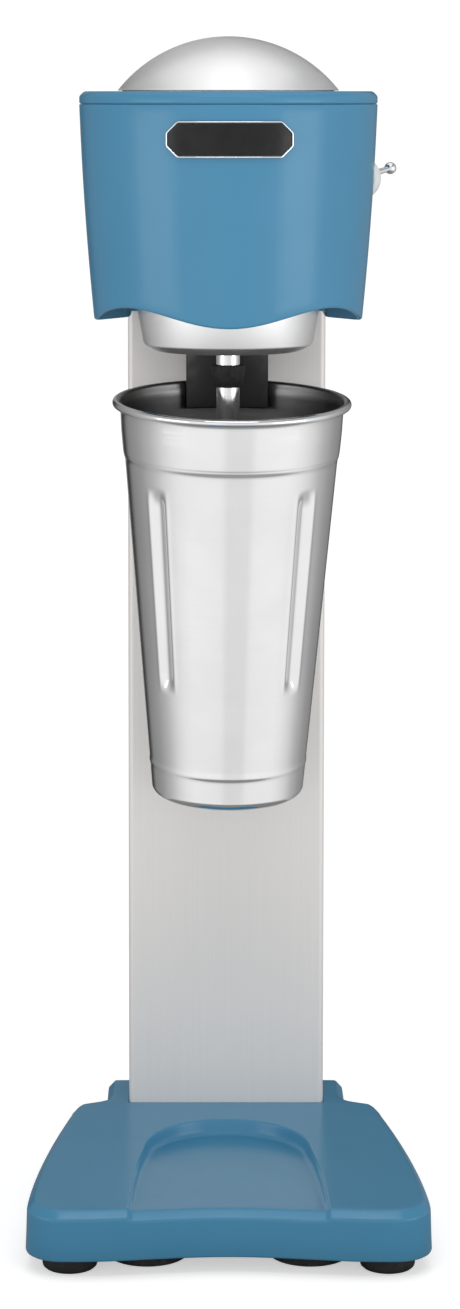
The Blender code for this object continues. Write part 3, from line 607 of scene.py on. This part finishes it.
def make_rear_cover():
    """A flat sheet with rounded vent slots and a hole for the gland."""
    low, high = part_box("column_rear_cover")
    outline = rounded_box(high.x / MM, low.z / MM, high.z / MM, 4.0)
    holes = [rounded_box(22.0, z, z + 4.0, 1.95) for z in range(382, 452, 12)]
    holes.append(circle(6.3, 48, (0.0, GLAND_Z)))
    flat, fill = filled(outline, holes)
    place = Matrix.Translation((0.0, COLUMN_DEPTH, 0.0)) @ Matrix.Rotation(math.pi / 2, 4, "X")
    outer, inner = -1.5, -0.3
    points = np.concatenate([at_height(flat, outer), at_height(flat, inner)])
    faces = fill.tolist() + (fill[:, ::-1] + len(flat)).tolist()
    for ring in [outline] + holes:
        faces += strip_faces(2, len(ring), True, len(points))
        points = np.concatenate([points, at_height(ring, outer), at_height(ring, inner)])
    piece("rear_cover_sheet", points, faces, "brushed", "frame", ["column_rear_cover"], sharp=35, local=place)

    gland = [(6.0, -4.5), (6.0, 0.0), (8.6, 0.0), (9.0, 0.4), (9.0, 2.9), (8.6, 3.3), (7.9, 3.5), (7.6, 4.2),
             (7.2, 4.6), (4.6, 4.6), (4.0, 4.0), (4.0, -4.5)]
    foot = Vector((0.0, COLUMN_DEPTH + 1.8, GLAND_Z))
    turned("cord_gland_rubber", gland, 72, "rubber", "frame", "cord_gland", 50,
           local=turn(foot, foot + Vector((0.0, 1.0, 0.0))))


def make_screws():
    """Pan-head screws with a cross recess, each in the space of its CAD node."""
    for node in frame["nodes"]:
        if "_screw_" not in node:
            continue
        low, high = (Vector((c.x, c.y - COLUMN_Y, c.z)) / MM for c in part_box(node))
        axis = Vector(SCREW_AXES[node.split("_")[0]])
        length = abs((high - low).dot(axis))
        seat = (low + high) / 2 + axis * (length / 2 - SCREW_HEAD)
        radius, shank, brim = 2.9, 1.45, 0.35
        tip = SCREW_HEAD - length
        profile = [(0.0, tip), (1.2, tip), (shank, tip + 0.5), (shank, 0.0), (2.8, 0.0), (radius, 0.1)]
        profile += [(radius * r, brim + (SCREW_HEAD - brim) * math.sqrt(1.0 - r * r))
                    for r in np.linspace(1.0, 0.0, 26)]
        points, faces = revolve(profile, (0, 0, 0), 96)
        x, y = np.abs(points[:, 0]), np.abs(points[:, 1])
        across = np.clip((0.46 - np.minimum(x, y)) / 0.16, 0.0, 1.0)
        along = np.clip((1.75 - np.hypot(x, y)) / 0.3, 0.0, 1.0)
        points[:, 2] -= np.where(points[:, 2] > 0.4, 0.8 * (across * along), 0.0)
        piece(node + "_head", points, faces, "zinc", "frame", [node], sharp=40, local=turn(seat, seat + axis))


# ---- head

HEAD_BOTTOM = 390.0
HEAD_RADIUS = 62.8
HEAD_WALL = 2.2
CASE_RADIUS = 44.6  # of the motor case
NECK_Y = -41.0
WAVE_HEIGHT = 7.5
WAVE_ANGLE = 94.0  # degrees from the middle of the front to the end of the wave
FLANGE_POINTS = 12
HEAD_SIDE = [(kind, i / count) for kind, count in (("flange", FLANGE_POINTS), ("neck", 44), ("taper", 28))
             for i in range(count)]


def head_radius(z):
    down = LIP_Z - z
    return HEAD_RADIUS - 0.036 * down - 0.00035 * down ** 2


def head_path(z, back=-0.3, flange=33.0, rounding=1.7):
    """Plan of the head at the given heights, one height for each of its points."""
    turns = np.radians(np.linspace(180.0, 360.0, 241))
    radius = np.broadcast_to(head_radius(np.asarray(z, float)), len(turns) + 2 * len(HEAD_SIDE))
    side = len(HEAD_SIDE)
    middle = radius[side:-side]
    front = np.stack([middle * np.cos(turns), SPINDLE_Y + middle * np.sin(turns)], 1)

    def neck(radii):
        points = []
        for (kind, share), edge in zip(HEAD_SIDE, radii):
            if kind == "flange":
                points.append((flange + (COLUMN_HALF_WIDTH - flange) * share, back))
            elif kind == "neck":
                points.append((COLUMN_HALF_WIDTH, back + (NECK_Y - back) * share))
            else:
                points.append((COLUMN_HALF_WIDTH + (edge - COLUMN_HALF_WIDTH) * share,
                               NECK_Y + (SPINDLE_Y - NECK_Y) * share))
        return np.array(points)

    left = neck(radius[:side]) * np.array([-1.0, 1.0])
    right = neck(radius[-side:][::-1])[::-1]
    return smooth_path(np.concatenate([left, front, right]), False, rounding)


def hem_height(path):
    """Height of the wavy lower edge at each point of the plan."""
    angle = np.degrees(np.arctan2(path[:, 0], SPINDLE_Y - path[:, 1]))
    wave = WAVE_HEIGHT * (1.0 - np.cos(np.radians(360.0 * angle / WAVE_ANGLE))) / 2.0
    return HEAD_BOTTOM + np.where(np.abs(angle) <= WAVE_ANGLE, wave, 0.0)


def make_head_shell():
    base = head_path(HEAD_BOTTOM)
    hem = hem_height(base)
    top = LIP_Z - 0.05
    half = HEAD_WALL / 2
    rows = []

    def row(inset, z):
        path = head_path(z)
        rows.append(at_height(path + inward(path, False) * inset, z))

    for angle in np.radians(np.linspace(180, 0, 9)):
        row(half - half * math.cos(angle), hem + half - half * math.sin(angle))
    low, high, rounding = hem + half, top - 0.5, 0.5
    for share in np.linspace(0.0, 1.0, 26)[1:-1]:
        row(0.0, low + (high - low) * share)
    for angle in np.radians(np.linspace(0, 90, 4)):
        row(rounding - rounding * math.cos(angle), high + rounding * math.sin(angle))
    row(HEAD_WALL, top)
    for share in (0.25, 0.5, 0.75):
        row(HEAD_WALL, top + (hem + half - top) * share)
    count, loops = len(base), len(rows)
    points = np.concatenate(rows)
    faces = strip_faces(loops, count, False)
    last = (loops - 1) * count
    faces += [(last + j, last + j + 1, j + 1, j) for j in range(count - 1)]
    faces.append(tuple(i * count for i in range(loops)))
    faces.append(tuple(i * count + count - 1 for i in range(loops))[::-1])
    piece("head_casing", points, faces, "blue", "frame", ["head_shell"], sharp=50)


def make_head_cover():
    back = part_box("head_top_cover")[1].y / MM - COLUMN_Y / MM
    path = head_path(LIP_Z, back, COLUMN_HALF_WIDTH - 0.01)[FLANGE_POINTS:-FLANGE_POINTS]
    outline = smooth_path(resample(path, 0.8, True), True, 1.5)
    profile = [(2.6, LIP_Z), (0.9, LIP_Z), (0.35, LIP_Z + 0.15), (0.05, LIP_Z + 0.6), (0.0, LIP_Z + 1.2),
               (0.0, HEAD_TOP - 2.5), (0.15, HEAD_TOP - 2.0), (0.55, HEAD_TOP - 1.45),
               (1.45, HEAD_TOP - 0.55), (2.0, HEAD_TOP - 0.15), (2.6, HEAD_TOP), (3.4, HEAD_TOP)]
    rings = rings_from_outline(outline, profile)
    count = len(outline)
    faces = strip_faces(len(profile), count, True)
    hole = circle(CASE_RADIUS + 0.4, 120, (0.0, SPINDLE_Y))
    under = HEAD_TOP - 2.6
    points = rings
    for ring, height in ((rings[-count:, :2], HEAD_TOP), (rings[:count, :2], under)):
        flat, fill = filled(ring, [hole])
        faces += (fill + len(points)).tolist()
        points = np.concatenate([points, at_height(flat, height)])
    for ring, low, high in ((rings[:count, :2], LIP_Z, under), (hole, under, HEAD_TOP)):
        faces += strip_faces(2, len(ring), True, len(points))
        points = np.concatenate([points, at_height(ring, low), at_height(ring, high)])
    piece("head_lid", points, faces, "blue", "frame", ["head_top_cover"], sharp=50)


def on_head(x, z, out):
    """A point on the round front of the head at a height, moved outwards."""
    radius = head_radius(z) + out
    return (x, SPINDLE_Y - math.sqrt(max(radius ** 2 - x ** 2, 0.0)), z)


def octagon(half_width, half_height, corner, spacing=0.6):
    x, z = half_width, half_height
    points = [(x, corner - z), (x, z - corner), (x - corner, z), (corner - x, z), (-x, z - corner),
              (-x, corner - z), (corner - x, -z), (x - corner, -z)]
    return smooth_path(resample(points, spacing, True), True, 0.8)


def make_nameplate():
    """A blank black plate with a bright rim, both curved to the head."""
    middle = (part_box("nameplate_frame")[0].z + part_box("nameplate_frame")[1].z) / 2 / MM
    outline = octagon(26.0, 7.5, 4.7)
    normal = inward(outline, True)
    section = [(0.0, 0.3), (0.0, 1.2), (0.15, 1.45), (0.4, 1.55), (0.65, 1.45), (0.8, 1.2), (0.8, 0.3)]
    points = [on_head(x, z + middle, out) for inset, out in section for x, z in outline + normal * inset]
    faces = [face[::-1] for face in looped_faces(len(section), len(outline))]
    piece("nameplate_rim", points, faces, "chrome", "frame", ["nameplate_frame"], sharp=50)

    half, height, cut = 24.9, 6.4, 4.2
    columns, rows = 100, 12
    face_points, back_points = [], []
    for x in np.linspace(-half, half, columns + 1):
        reach = min(height, height - cut + (half - abs(x)))
        for v in np.linspace(-1.0, 1.0, rows + 1):
            face_points.append(on_head(x, middle + reach * v, 1.2))
            back_points.append(on_head(x, middle + reach * v, 0.4))
    wide = rows + 1
    front = [face[::-1] for face in strip_faces(columns + 1, wide, False)]
    offset = len(face_points)
    back = [tuple(i + offset for i in face[::-1]) for face in front]
    edge = (list(range(wide)) + [i * wide + rows for i in range(1, columns + 1)]
            + [columns * wide + j for j in range(rows - 1, -1, -1)]
            + [i * wide for i in range(columns - 1, 0, -1)])
    skirt = [(a, b, b + offset, a + offset) for a, b in zip(edge, edge[1:] + edge[:1])]
    piece("nameplate_face", face_points + back_points, front + back + skirt, "badge", "frame", ["nameplate"],
          sharp=50)


# ---- motor case and spindle

def make_motor_case():
    centre = (0.0, SPINDLE_Y, 0.0)
    sphere = 59.3
    seat, wall, split = HEAD_TOP + 0.3, CASE_RADIUS, 455.3
    crown = [(sphere * math.sin(a), TOP_Z - sphere + sphere * math.cos(a))
             for a in np.radians(np.linspace(51.6, 0.0, 44))]
    crown[-1] = (0.0, TOP_Z)
    outer = [(wall - 1.5, split), (wall, split), (wall, seat), (46.3, seat), (46.6, seat + 0.15)] + crown
    inner = [(0.0, 498.0), (11.3, 498.0), (11.3, 489.0), (14.0, 489.0), (19.0, 503.7), (33.0, 497.0),
             (42.7, 487.7)]
    turned("motor_bell", outer + inner, 160, "satin", "frame", "motor_dome", 40, centre)

    nose = [(5.7, 377.3), (30.2, 377.3), (30.7, 377.4), (31.2, 377.6), (35.0, 379.7), (35.5, 380.1),
            (35.85, 380.7), (38.3, 394.2), (wall, 429.0), (wall, 455.0), (wall - 1.5, 455.0),
            (wall - 1.5, 429.0), (36.5, 394.2), (33.0, 380.5), (14.0, 380.5), (14.0, 391.0), (11.3, 391.0),
            (11.3, 383.0), (5.7, 383.0)]
    turned("motor_nose", nose, 160, "satin", "frame", "motor_cone", 30, centre)


def make_spindle():
    centre = (0.0, SPINDLE_Y, 0.0)
    low, high = (corner.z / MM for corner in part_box("motor_shaft"))
    disc_z = 206.0
    shaft = [(0.0, low), (2.0, low), (2.5, low + 0.5)]
    for i in range(9):
        z = low + 1.0 + i
        shaft += [(2.5, z), (2.15, z + 0.5)]
    shaft = [p for p in shaft if p[1] < disc_z + 1.3]
    shaft += [(2.5, disc_z + 1.5), (4.6, disc_z + 1.5), (5.0, disc_z + 1.9), (5.0, 424.0), (4.0, 425.0),
              (4.0, high - 0.4), (3.6, high), (0.0, high)]
    turned("spindle_rod", shaft, 64, "polished", "spindle", "motor_shaft", 35, centre)

    slinger = [(5.3, 361.6), (5.7, 361.6), (6.05, 361.9), (7.35, 370.3), (7.3, 370.7), (6.9, 371.0),
               (5.3, 371.0)]
    turned("splash_slinger_rubber", slinger, 72, "rubber", "spindle", "splash_slinger", 50, centre)
    make_agitator(centre, disc_z)


def make_agitator(centre, disc_z):
    """A dished disc whose rim is waved, clamped by a hex nut."""
    sides, thick = 144, 1.1
    angles = np.arange(sides) * math.tau / sides
    profile = [(2.8, 0.0), (5.0, 0.0), (6.2, -0.15), (8.5, -0.9), (11.0, -2.0), (12.7, -2.75), (13.0, -2.9)]
    rows = []
    for shift, order in ((0.0, profile), (thick, profile[::-1])):
        for radius, drop in order:
            wave = 0.55 * max(0.0, (radius - 6.0) / 7.0)
            ring = circle(radius, sides, centre[:2])
            rows.append(at_height(ring, disc_z + 0.1 + drop + shift + wave * np.sin(6 * angles)))
    piece("agitator_blade", np.concatenate(rows), looped_faces(len(rows), sides), "polished", "spindle",
          ["agitator_disc"], sharp=40)
    outline = resample(circle(4.6, 6, centre[:2]), 0.4, True)
    profile = edge_profile(disc_z - 4.4, disc_z - 0.9, 0.4)
    piece("agitator_hex_nut", rings_from_outline(outline, profile), capped_faces(len(profile), len(outline)),
          "polished", "spindle", ["agitator_nut"])


# ---- toggle switch

TOGGLE = (55.4, 449.7)
TOGGLE_TILT = 12.0
TOGGLE_REACH = 19.6  # from the wall to the middle of the ball


def toggle_frames():
    """Frames on the wall's face along the switch's axis, and along the lever at rest."""
    radius = head_radius(TOGGLE[1])
    along = Vector((COLUMN_HALF_WIDTH - radius, NECK_Y - SPINDLE_Y, 0.0))
    normal = Vector((along.y, -along.x, 0.0)).normalized()
    share = (radius - TOGGLE[0]) / (radius - COLUMN_HALF_WIDTH)
    foot = Vector((TOGGLE[0], SPINDLE_Y + share * (NECK_Y - SPINDLE_Y), TOGGLE[1]))
    tilt = math.radians(TOGGLE_TILT)
    lever = normal * math.cos(tilt) + Vector((0.0, 0.0, math.sin(tilt)))
    return foot, normal, turn(foot, foot + normal), turn(foot, foot + lever)


def make_toggle():
    foot, normal, upright, tilted = toggle_frames()
    skin = [(7.6, 0.4), (8.5, 0.4), (8.8, 0.8), (8.8, 1.6), (8.7, 2.6), (8.4, 3.9), (7.9, 5.1), (7.1, 6.2),
            (6.1, 7.1), (5.0, 7.8), (4.0, 8.3), (3.2, 8.8), (2.7, 9.4), (2.5, 10.0), (2.25, 10.2),
            (1.95, 10.0), (1.9, 9.0), (2.3, 8.0), (3.2, 7.3), (4.8, 6.7), (6.2, 5.6), (7.2, 4.0), (7.6, 2.6)]
    points, faces = revolve(skin, (0, 0, 0), 96)
    lift = np.clip((points[:, 2] - 2.0) / 5.5, 0.0, 1.0)
    lift = lift * lift * (3.0 - 2.0 * lift)
    straight = np.array([tuple(upright @ Vector(point)) for point in points.tolist()])
    leaning = np.array([tuple(tilted @ Vector(point)) for point in points.tolist()])
    points = straight + (leaning - straight) * lift[:, None]
    boot = piece("toggle_boot_rubber", points, faces, "grey_rubber", None, ["toggle_boot"], sharp=60)
    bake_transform(boot)

    ball, neck = 2.6, 1.2
    start = math.degrees(math.asin(neck / ball))
    top = [(ball * math.sin(a), TOGGLE_REACH - ball * math.cos(a))
           for a in np.radians(np.linspace(start, 180, 24))]
    top[-1] = (0.0, TOGGLE_REACH + ball)
    lever = [(0.0, -1.6), (0.8, -1.4), (1.6, -0.4), (1.6, 3.0), (1.5, 9.0), (1.3, 13.0), (neck, 16.4)] + top
    turned("toggle_lever_ball", lever, 64, "chrome", "toggle", "toggle_lever", 50, local=tilted)


# ---- cup guide

def make_cup_guide():
    """A block on the column with a curved tongue that reaches down inside the cup's rim."""
    centre_y, outer, half = -59.0, 45.2, 17.9
    low, high, step = 348.5, 389.5, 368.0

    def arc_side(radius):
        reach = math.degrees(math.asin(half / radius))
        return np.array(arc(radius, 90 + reach, 90 - reach, 24, (0.0, centre_y)))

    front, back = arc_side(outer - 3.0), arc_side(outer)
    tongue = np.concatenate([front, back[::-1]])[::-1]
    made = piece("cup_guide_tongue", np.concatenate([at_height(tongue, z) for z in (low, step + 1.0)]),
                 capped_faces(2, len(tongue)), "black", "frame", ["cup_guide"], sharp=30)
    bevelled(made, 0.6)

    outer = np.concatenate([front, [(half, -0.4), (-half, -0.4)]])
    hollow = np.array([(-15.4, -0.4), (-15.4, -13.8), (15.4, -13.8), (15.4, -0.4)])
    count = len(outer)
    points = np.concatenate([at_height(outer, step), at_height(outer, high), at_height(hollow, step),
                             at_height(hollow, 387.0)])
    faces = [(j, j + 1, count + j + 1, count + j) for j in range(count - 2)]
    faces.append((count - 1, 0, count, 2 * count - 1))
    faces.append(tuple(range(count, 2 * count)))
    below, above = 2 * count, 2 * count + 4
    faces.append(tuple(range(count - 1)) + (below + 3, below + 2, below + 1, below, count - 1))
    faces += [(below + k, below + k + 1, above + k + 1, above + k) for k in range(3)]
    faces.append(tuple(range(above, above + 4)))
    faces.append((count - 2, below + 3, above + 3, above, below, count - 1, 2 * count - 1, 2 * count - 2))
    made = piece("cup_guide_block", points, faces, "black", "frame", (), sharp=30)
    bevelled(made, 0.6)


def make_spring():
    """The actuator's return spring, as a fixed coil."""
    centre, low, high, radius, wire = (-8.5, -9.2), 374.9, 386.1, 2.6, 0.45
    steps, sides, turns = 160, 10, 4
    share = np.linspace(0.0, 1.0, steps)
    angle = math.tau * turns * share
    around = np.arange(sides) * math.tau / sides
    reach = radius + wire * np.cos(around)
    points = np.stack([centre[0] + reach * np.cos(angle)[:, None], centre[1] + reach * np.sin(angle)[:, None],
                       (low + (high - low) * share)[:, None] + wire * np.sin(around)], 2).reshape(-1, 3)
    spring = piece("return_spring_coil", points, capped_faces(steps, sides), "chrome", None,
                   ["actuator_spring"], sharp=50)
    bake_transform(spring)


# ---- mixing cup

CUP_RIM = (1.65, -59.4, 354.8)
CUP_TILT = 4.8
CUP_LEAN = 0.55
CUP_SHEET = 0.8
CUP_DEPTH = 171.0
RIM_RING = 49.15
RIM_BEAD = 1.65
FLUTE_DEPTH = 2.1
FLUTE_HALF_ANGLE = 6.4
FLUTE_TOP, FLUTE_BOTTOM = 31.0, 121.0  # depths below the rim
FLUTE_END = 9.0  # length over which a flute fades out


def cup_wall_radius(t):
    """Outer radius of the cup at a depth below its rim."""
    radius = 45.2 - 0.0863 * (t - 24.0)
    shoulder = np.interp(t, [0.0, 12.0, 20.6, 21.4], [47.55, 46.9, 46.1, 45.95])
    step = 1.0 / (1.0 + np.exp((t - 22.6) / 0.5))
    radius = radius + (shoulder - radius) * step
    return radius + 0.25 * np.exp(-((t - 155.8) / 1.1) ** 2)


def make_cup():
    corner, flat, dish = 4.2, CUP_DEPTH, 1.6
    wall_end = flat - corner
    runs = ((wall_end, 150.0, 26), (149.0, 125.0, 16), (124.0, 110.0, 22), (108.0, 46.0, 26),
            (44.0, 26.0, 26), (25.4, 19.4, 25), (18.6, 3.0, 10))
    wall_t = np.concatenate([np.linspace(*run) for run in runs])
    dished = [(0.0, flat - dish), (10.0, flat - dish), (18.0, flat - 1.55), (20.5, flat - 1.1),
              (22.0, flat - 0.3), (23.0, flat - 0.02), (24.2, flat)]
    around = arc(corner, 90, 4, 11, (float(cup_wall_radius(wall_end)) - corner, wall_end))
    outside = dished + around + [(float(cup_wall_radius(t)), t) for t in wall_t] + [(47.75, 1.4)]
    bead = [(x, -y) for x, y in arc(RIM_BEAD, -135, 180, 21, (RIM_RING, 0.0))]
    inside = np.array(outside) - inward(np.array(outside), False) * CUP_SHEET
    inside = [(max(r, 0.0), t) for r, t in inside][::-1]
    inside[-1] = (0.0, flat - dish - CUP_SHEET)
    profile = outside + bead + [p for p in inside if p[1] > 0.6]
    angles = flute_angles()
    degrees = (angles + 45.0) % 90.0 - 45.0
    groove = np.cos(np.clip(degrees / FLUTE_HALF_ANGLE, -1, 1) * math.pi / 2) ** 1.35
    shoulder = 0.18 * np.exp(-((np.abs(degrees) - FLUTE_HALF_ANGLE - 0.8) / 1.1) ** 2)
    rows = []
    for radius, t in profile:
        end = np.clip(min(t - FLUTE_TOP, FLUTE_BOTTOM - t) / FLUTE_END, 0.0, 1.0) if radius > 30 else 0.0
        share = math.sin(math.pi / 2 * end) ** 1.2
        narrow = np.clip(1.0 - 0.25 * (t - 30.0) / 90.0, 0.6, 1.0)
        reach = radius - FLUTE_DEPTH * narrow * share * groove + shoulder * share
        rad = np.radians(angles + 45.0)
        rows.append(np.stack([reach * np.cos(rad), reach * np.sin(rad), np.full(len(angles), -t)], 1))
    points = np.concatenate(rows)
    faces = strip_faces(len(rows), len(angles), True)
    place = (Matrix.Translation(Vector(CUP_RIM)) @ Matrix.Rotation(math.radians(CUP_LEAN), 4, "Y")
             @ Matrix.Rotation(math.radians(CUP_TILT), 4, "X"))
    cup = piece("malt_cup", points, faces, "polished", "cup", ["mixing_cup"], sharp=60, local=place)
    # Faces that look into the cup take the darker copy of the steel: painted shade inside the hollow.
    cup.data.materials.append(MATERIALS["cup_inside_painted_shade"])
    back = place.inverted()
    for face in cup.data.polygons:
        middle = back @ Vector((face.center.x / MM, (face.center.y - COLUMN_Y) / MM, face.center.z / MM))
        facing = back.to_3x3() @ face.normal
        if middle.x * facing.x + middle.y * facing.y < 0.0:
            face.material_index = 1


def flute_angles():
    """Angles round the cup in degrees from a flute's centre, close together at each flute."""
    near = np.arange(-9.0, 9.01, 0.6)
    far = np.linspace(9.0, 81.0, 37)[1:-1]
    quarter = np.concatenate([near, far])
    return np.concatenate([quarter + 90.0 * k for k in range(4)])


# ---- studio and camera

CAMERA_PLACE = (-14.0, -1455.0, 485.0)
CAMERA_DOWN = 5.3  # degrees it looks down
FLOOR_RADIUS = 0.26  # in metres
ROOM_STRENGTH = 1.0
# The room's brightness by degrees from the front, then by degrees above the horizon, and the share of
# the second at each height.
PANELS = ((0, 0.91), (12, 0.91), (20, 1.05), (34, 1.06), (60, 1.04), (75, 0.95), (90, 0.78), (100, 0.62),
          (108, 0.52), (126, 0.36), (149, 0.26), (162, 0.05), (170, 0.05), (176, 0.30), (180, 0.30))
PANEL_TURN = 8.0  # degrees the panels stand towards the right
LEVELS = ((-90, 0.35), (-45, 0.4), (-30, 0.75), (0, 0.6), (30, 0.40), (50, 0.40), (66, 0.5), (80, 0.85),
          (90, 0.85))
BLENDS = ((-90, 1.0), (-45, 1.0), (-34, 0.4), (-25, 0.0), (14, 0.0), (36, 1.0), (90, 1.0))


def area_light(name, place, target, size, power):
    data = bpy.data.lights.new(name, "AREA")
    data.shape = "RECTANGLE"
    data.size, data.size_y = size
    data.energy = power
    lamp = bpy.data.objects.new(name, data)
    lamp.location = place
    lamp.rotation_euler = (Vector(target) - Vector(place)).to_track_quat("-Z", "Y").to_euler()
    lamp.visible_camera = False
    scene.collection.objects.link(lamp)


def grey_ramp(tree, source, stops):
    """A ramp of (position, brightness) stops, with brightness up to 2."""
    ramp = shader_node(tree, "ValToRGB")
    elements = ramp.color_ramp.elements
    while len(elements) < len(stops):
        elements.new(0.5)
    for element, (position, value) in zip(elements, stops):
        element.position = position
        element.color = (value, value, value, 1.0)
    tree.links.new(source, ramp.inputs["Fac"])
    return ramp.outputs["Color"]


def arithmetic(tree, operation, first, second):
    node = shader_node(tree, "Math")
    node.operation = operation
    for socket, value in zip(node.inputs, (first, second)):
        if isinstance(value, (int, float)):
            socket.default_value = value
        else:
            tree.links.new(value, socket)
    return node.outputs["Value"]


def make_world():
    """A room that is bright in front, dark behind and lit from above; the camera sees plain white."""
    world = bpy.data.worlds.new("studio")
    scene.world = world
    world.use_nodes = True
    tree = world.node_tree
    coordinates = shader_node(tree, "TexCoord")
    split = shader_node(tree, "SeparateXYZ")
    tree.links.new(coordinates.outputs["Generated"], split.inputs["Vector"])
    forward = arithmetic(tree, "MULTIPLY", split.outputs["Y"], -1.0)
    azimuth = arithmetic(tree, "ARCTAN2", split.outputs["X"], forward)
    azimuth = arithmetic(tree, "SUBTRACT", azimuth, math.radians(PANEL_TURN))
    turned = arithmetic(tree, "DIVIDE", arithmetic(tree, "ABSOLUTE", azimuth, 0.0), math.pi)
    panels = grey_ramp(tree, turned, [(angle / 180.0, value) for angle, value in PANELS])
    height = arithmetic(tree, "MULTIPLY_ADD", split.outputs["Z"], 0.5)
    height.node.inputs[2].default_value = 0.5
    overhead, share = (grey_ramp(tree, height, [((math.sin(math.radians(angle)) + 1.0) / 2.0, value)
                                                for angle, value in stops]) for stops in (LEVELS, BLENDS))
    mix = shader_node(tree, "Mix")
    mix.data_type = "RGBA"
    tree.links.new(share, mix.inputs["Factor"])
    tree.links.new(panels, mix.inputs["A"])
    tree.links.new(overhead, mix.inputs["B"])
    background = tree.nodes["Background"]
    tree.links.new(mix.outputs["Result"], background.inputs["Color"])
    background.inputs["Strength"].default_value = ROOM_STRENGTH
    white = shader_node(tree, "Background", Color=(1.0, 1.0, 1.0, 1.0), Strength=1.05)
    path = shader_node(tree, "LightPath")
    choose = shader_node(tree, "MixShader")
    tree.links.new(path.outputs["Is Camera Ray"], choose.inputs["Fac"])
    tree.links.new(background.outputs["Background"], choose.inputs[1])
    tree.links.new(white.outputs["Background"], choose.inputs[2])
    tree.links.new(choose.outputs["Shader"], tree.nodes["World Output"].inputs["Surface"])


def make_studio():
    """A small white floor under the mixer, the room, and four softboxes that the camera does not see."""
    floor_mesh = bpy.data.meshes.new("studio_floor")
    bm = bmesh.new()
    bmesh.ops.create_circle(bm, cap_ends=True, segments=96, radius=FLOOR_RADIUS)
    bm.to_mesh(floor_mesh)
    bm.free()
    floor = bpy.data.objects.new("studio_floor", floor_mesh)
    floor.location.z = -0.0002
    scene.collection.objects.link(floor)
    look = Look("floor_paper", 0.9)
    path = shader_node(look.tree, "LightPath")
    look.colour(path.outputs["Is Camera Ray"], grey(0.38), grey(0.92), 0.0, 1.0)
    look.shader.inputs["Emission Color"].default_value = (1.0, 1.0, 1.0, 1.0)
    glow = arithmetic(look.tree, "MULTIPLY", path.outputs["Is Camera Ray"], 0.5)
    look.tree.links.new(glow, look.shader.inputs["Emission Strength"])
    floor_mesh.materials.append(look.material)
    make_world()
    area_light("top_softbox", (0.0, -1.15, 1.8), (0.0, -0.1, 0.1), (1.3, 0.3), 5)
    area_light("dome_softbox", at(0.0, SPINDLE_Y, 860.0), at(0.0, SPINDLE_Y, 500.0), (0.6, 0.5), 0.34)
    area_light("left_strip", (-1.0, -0.62, 0.28), (0.0, -0.05, 0.40), (0.7, 0.45), 1.5)
    area_light("right_strip", (0.98, -0.66, 0.28), (0.0, -0.05, 0.40), (0.7, 0.45), 1.9)


def make_camera():
    data = bpy.data.cameras.new("camera")
    data.sensor_width = 36.0
    data.lens = 90.76
    data.shift_x = 0.0267
    data.shift_y = -0.1937
    camera = bpy.data.objects.new("camera", data)
    camera.location = at(*CAMERA_PLACE)
    camera.rotation_euler = (math.radians(90.0 - CAMERA_DOWN), 0.0, 0.0)
    scene.collection.objects.link(camera)
    scene.camera = camera


make_camera()
make_materials()
finish_cad_nodes()
make_base()
make_feet()
make_column()
make_rear_cover()
make_screws()
make_head_shell()
make_head_cover()
make_nameplate()
make_motor_case()
make_spindle()
make_toggle()
make_cup_guide()
make_spring()
make_cup()
make_studio()
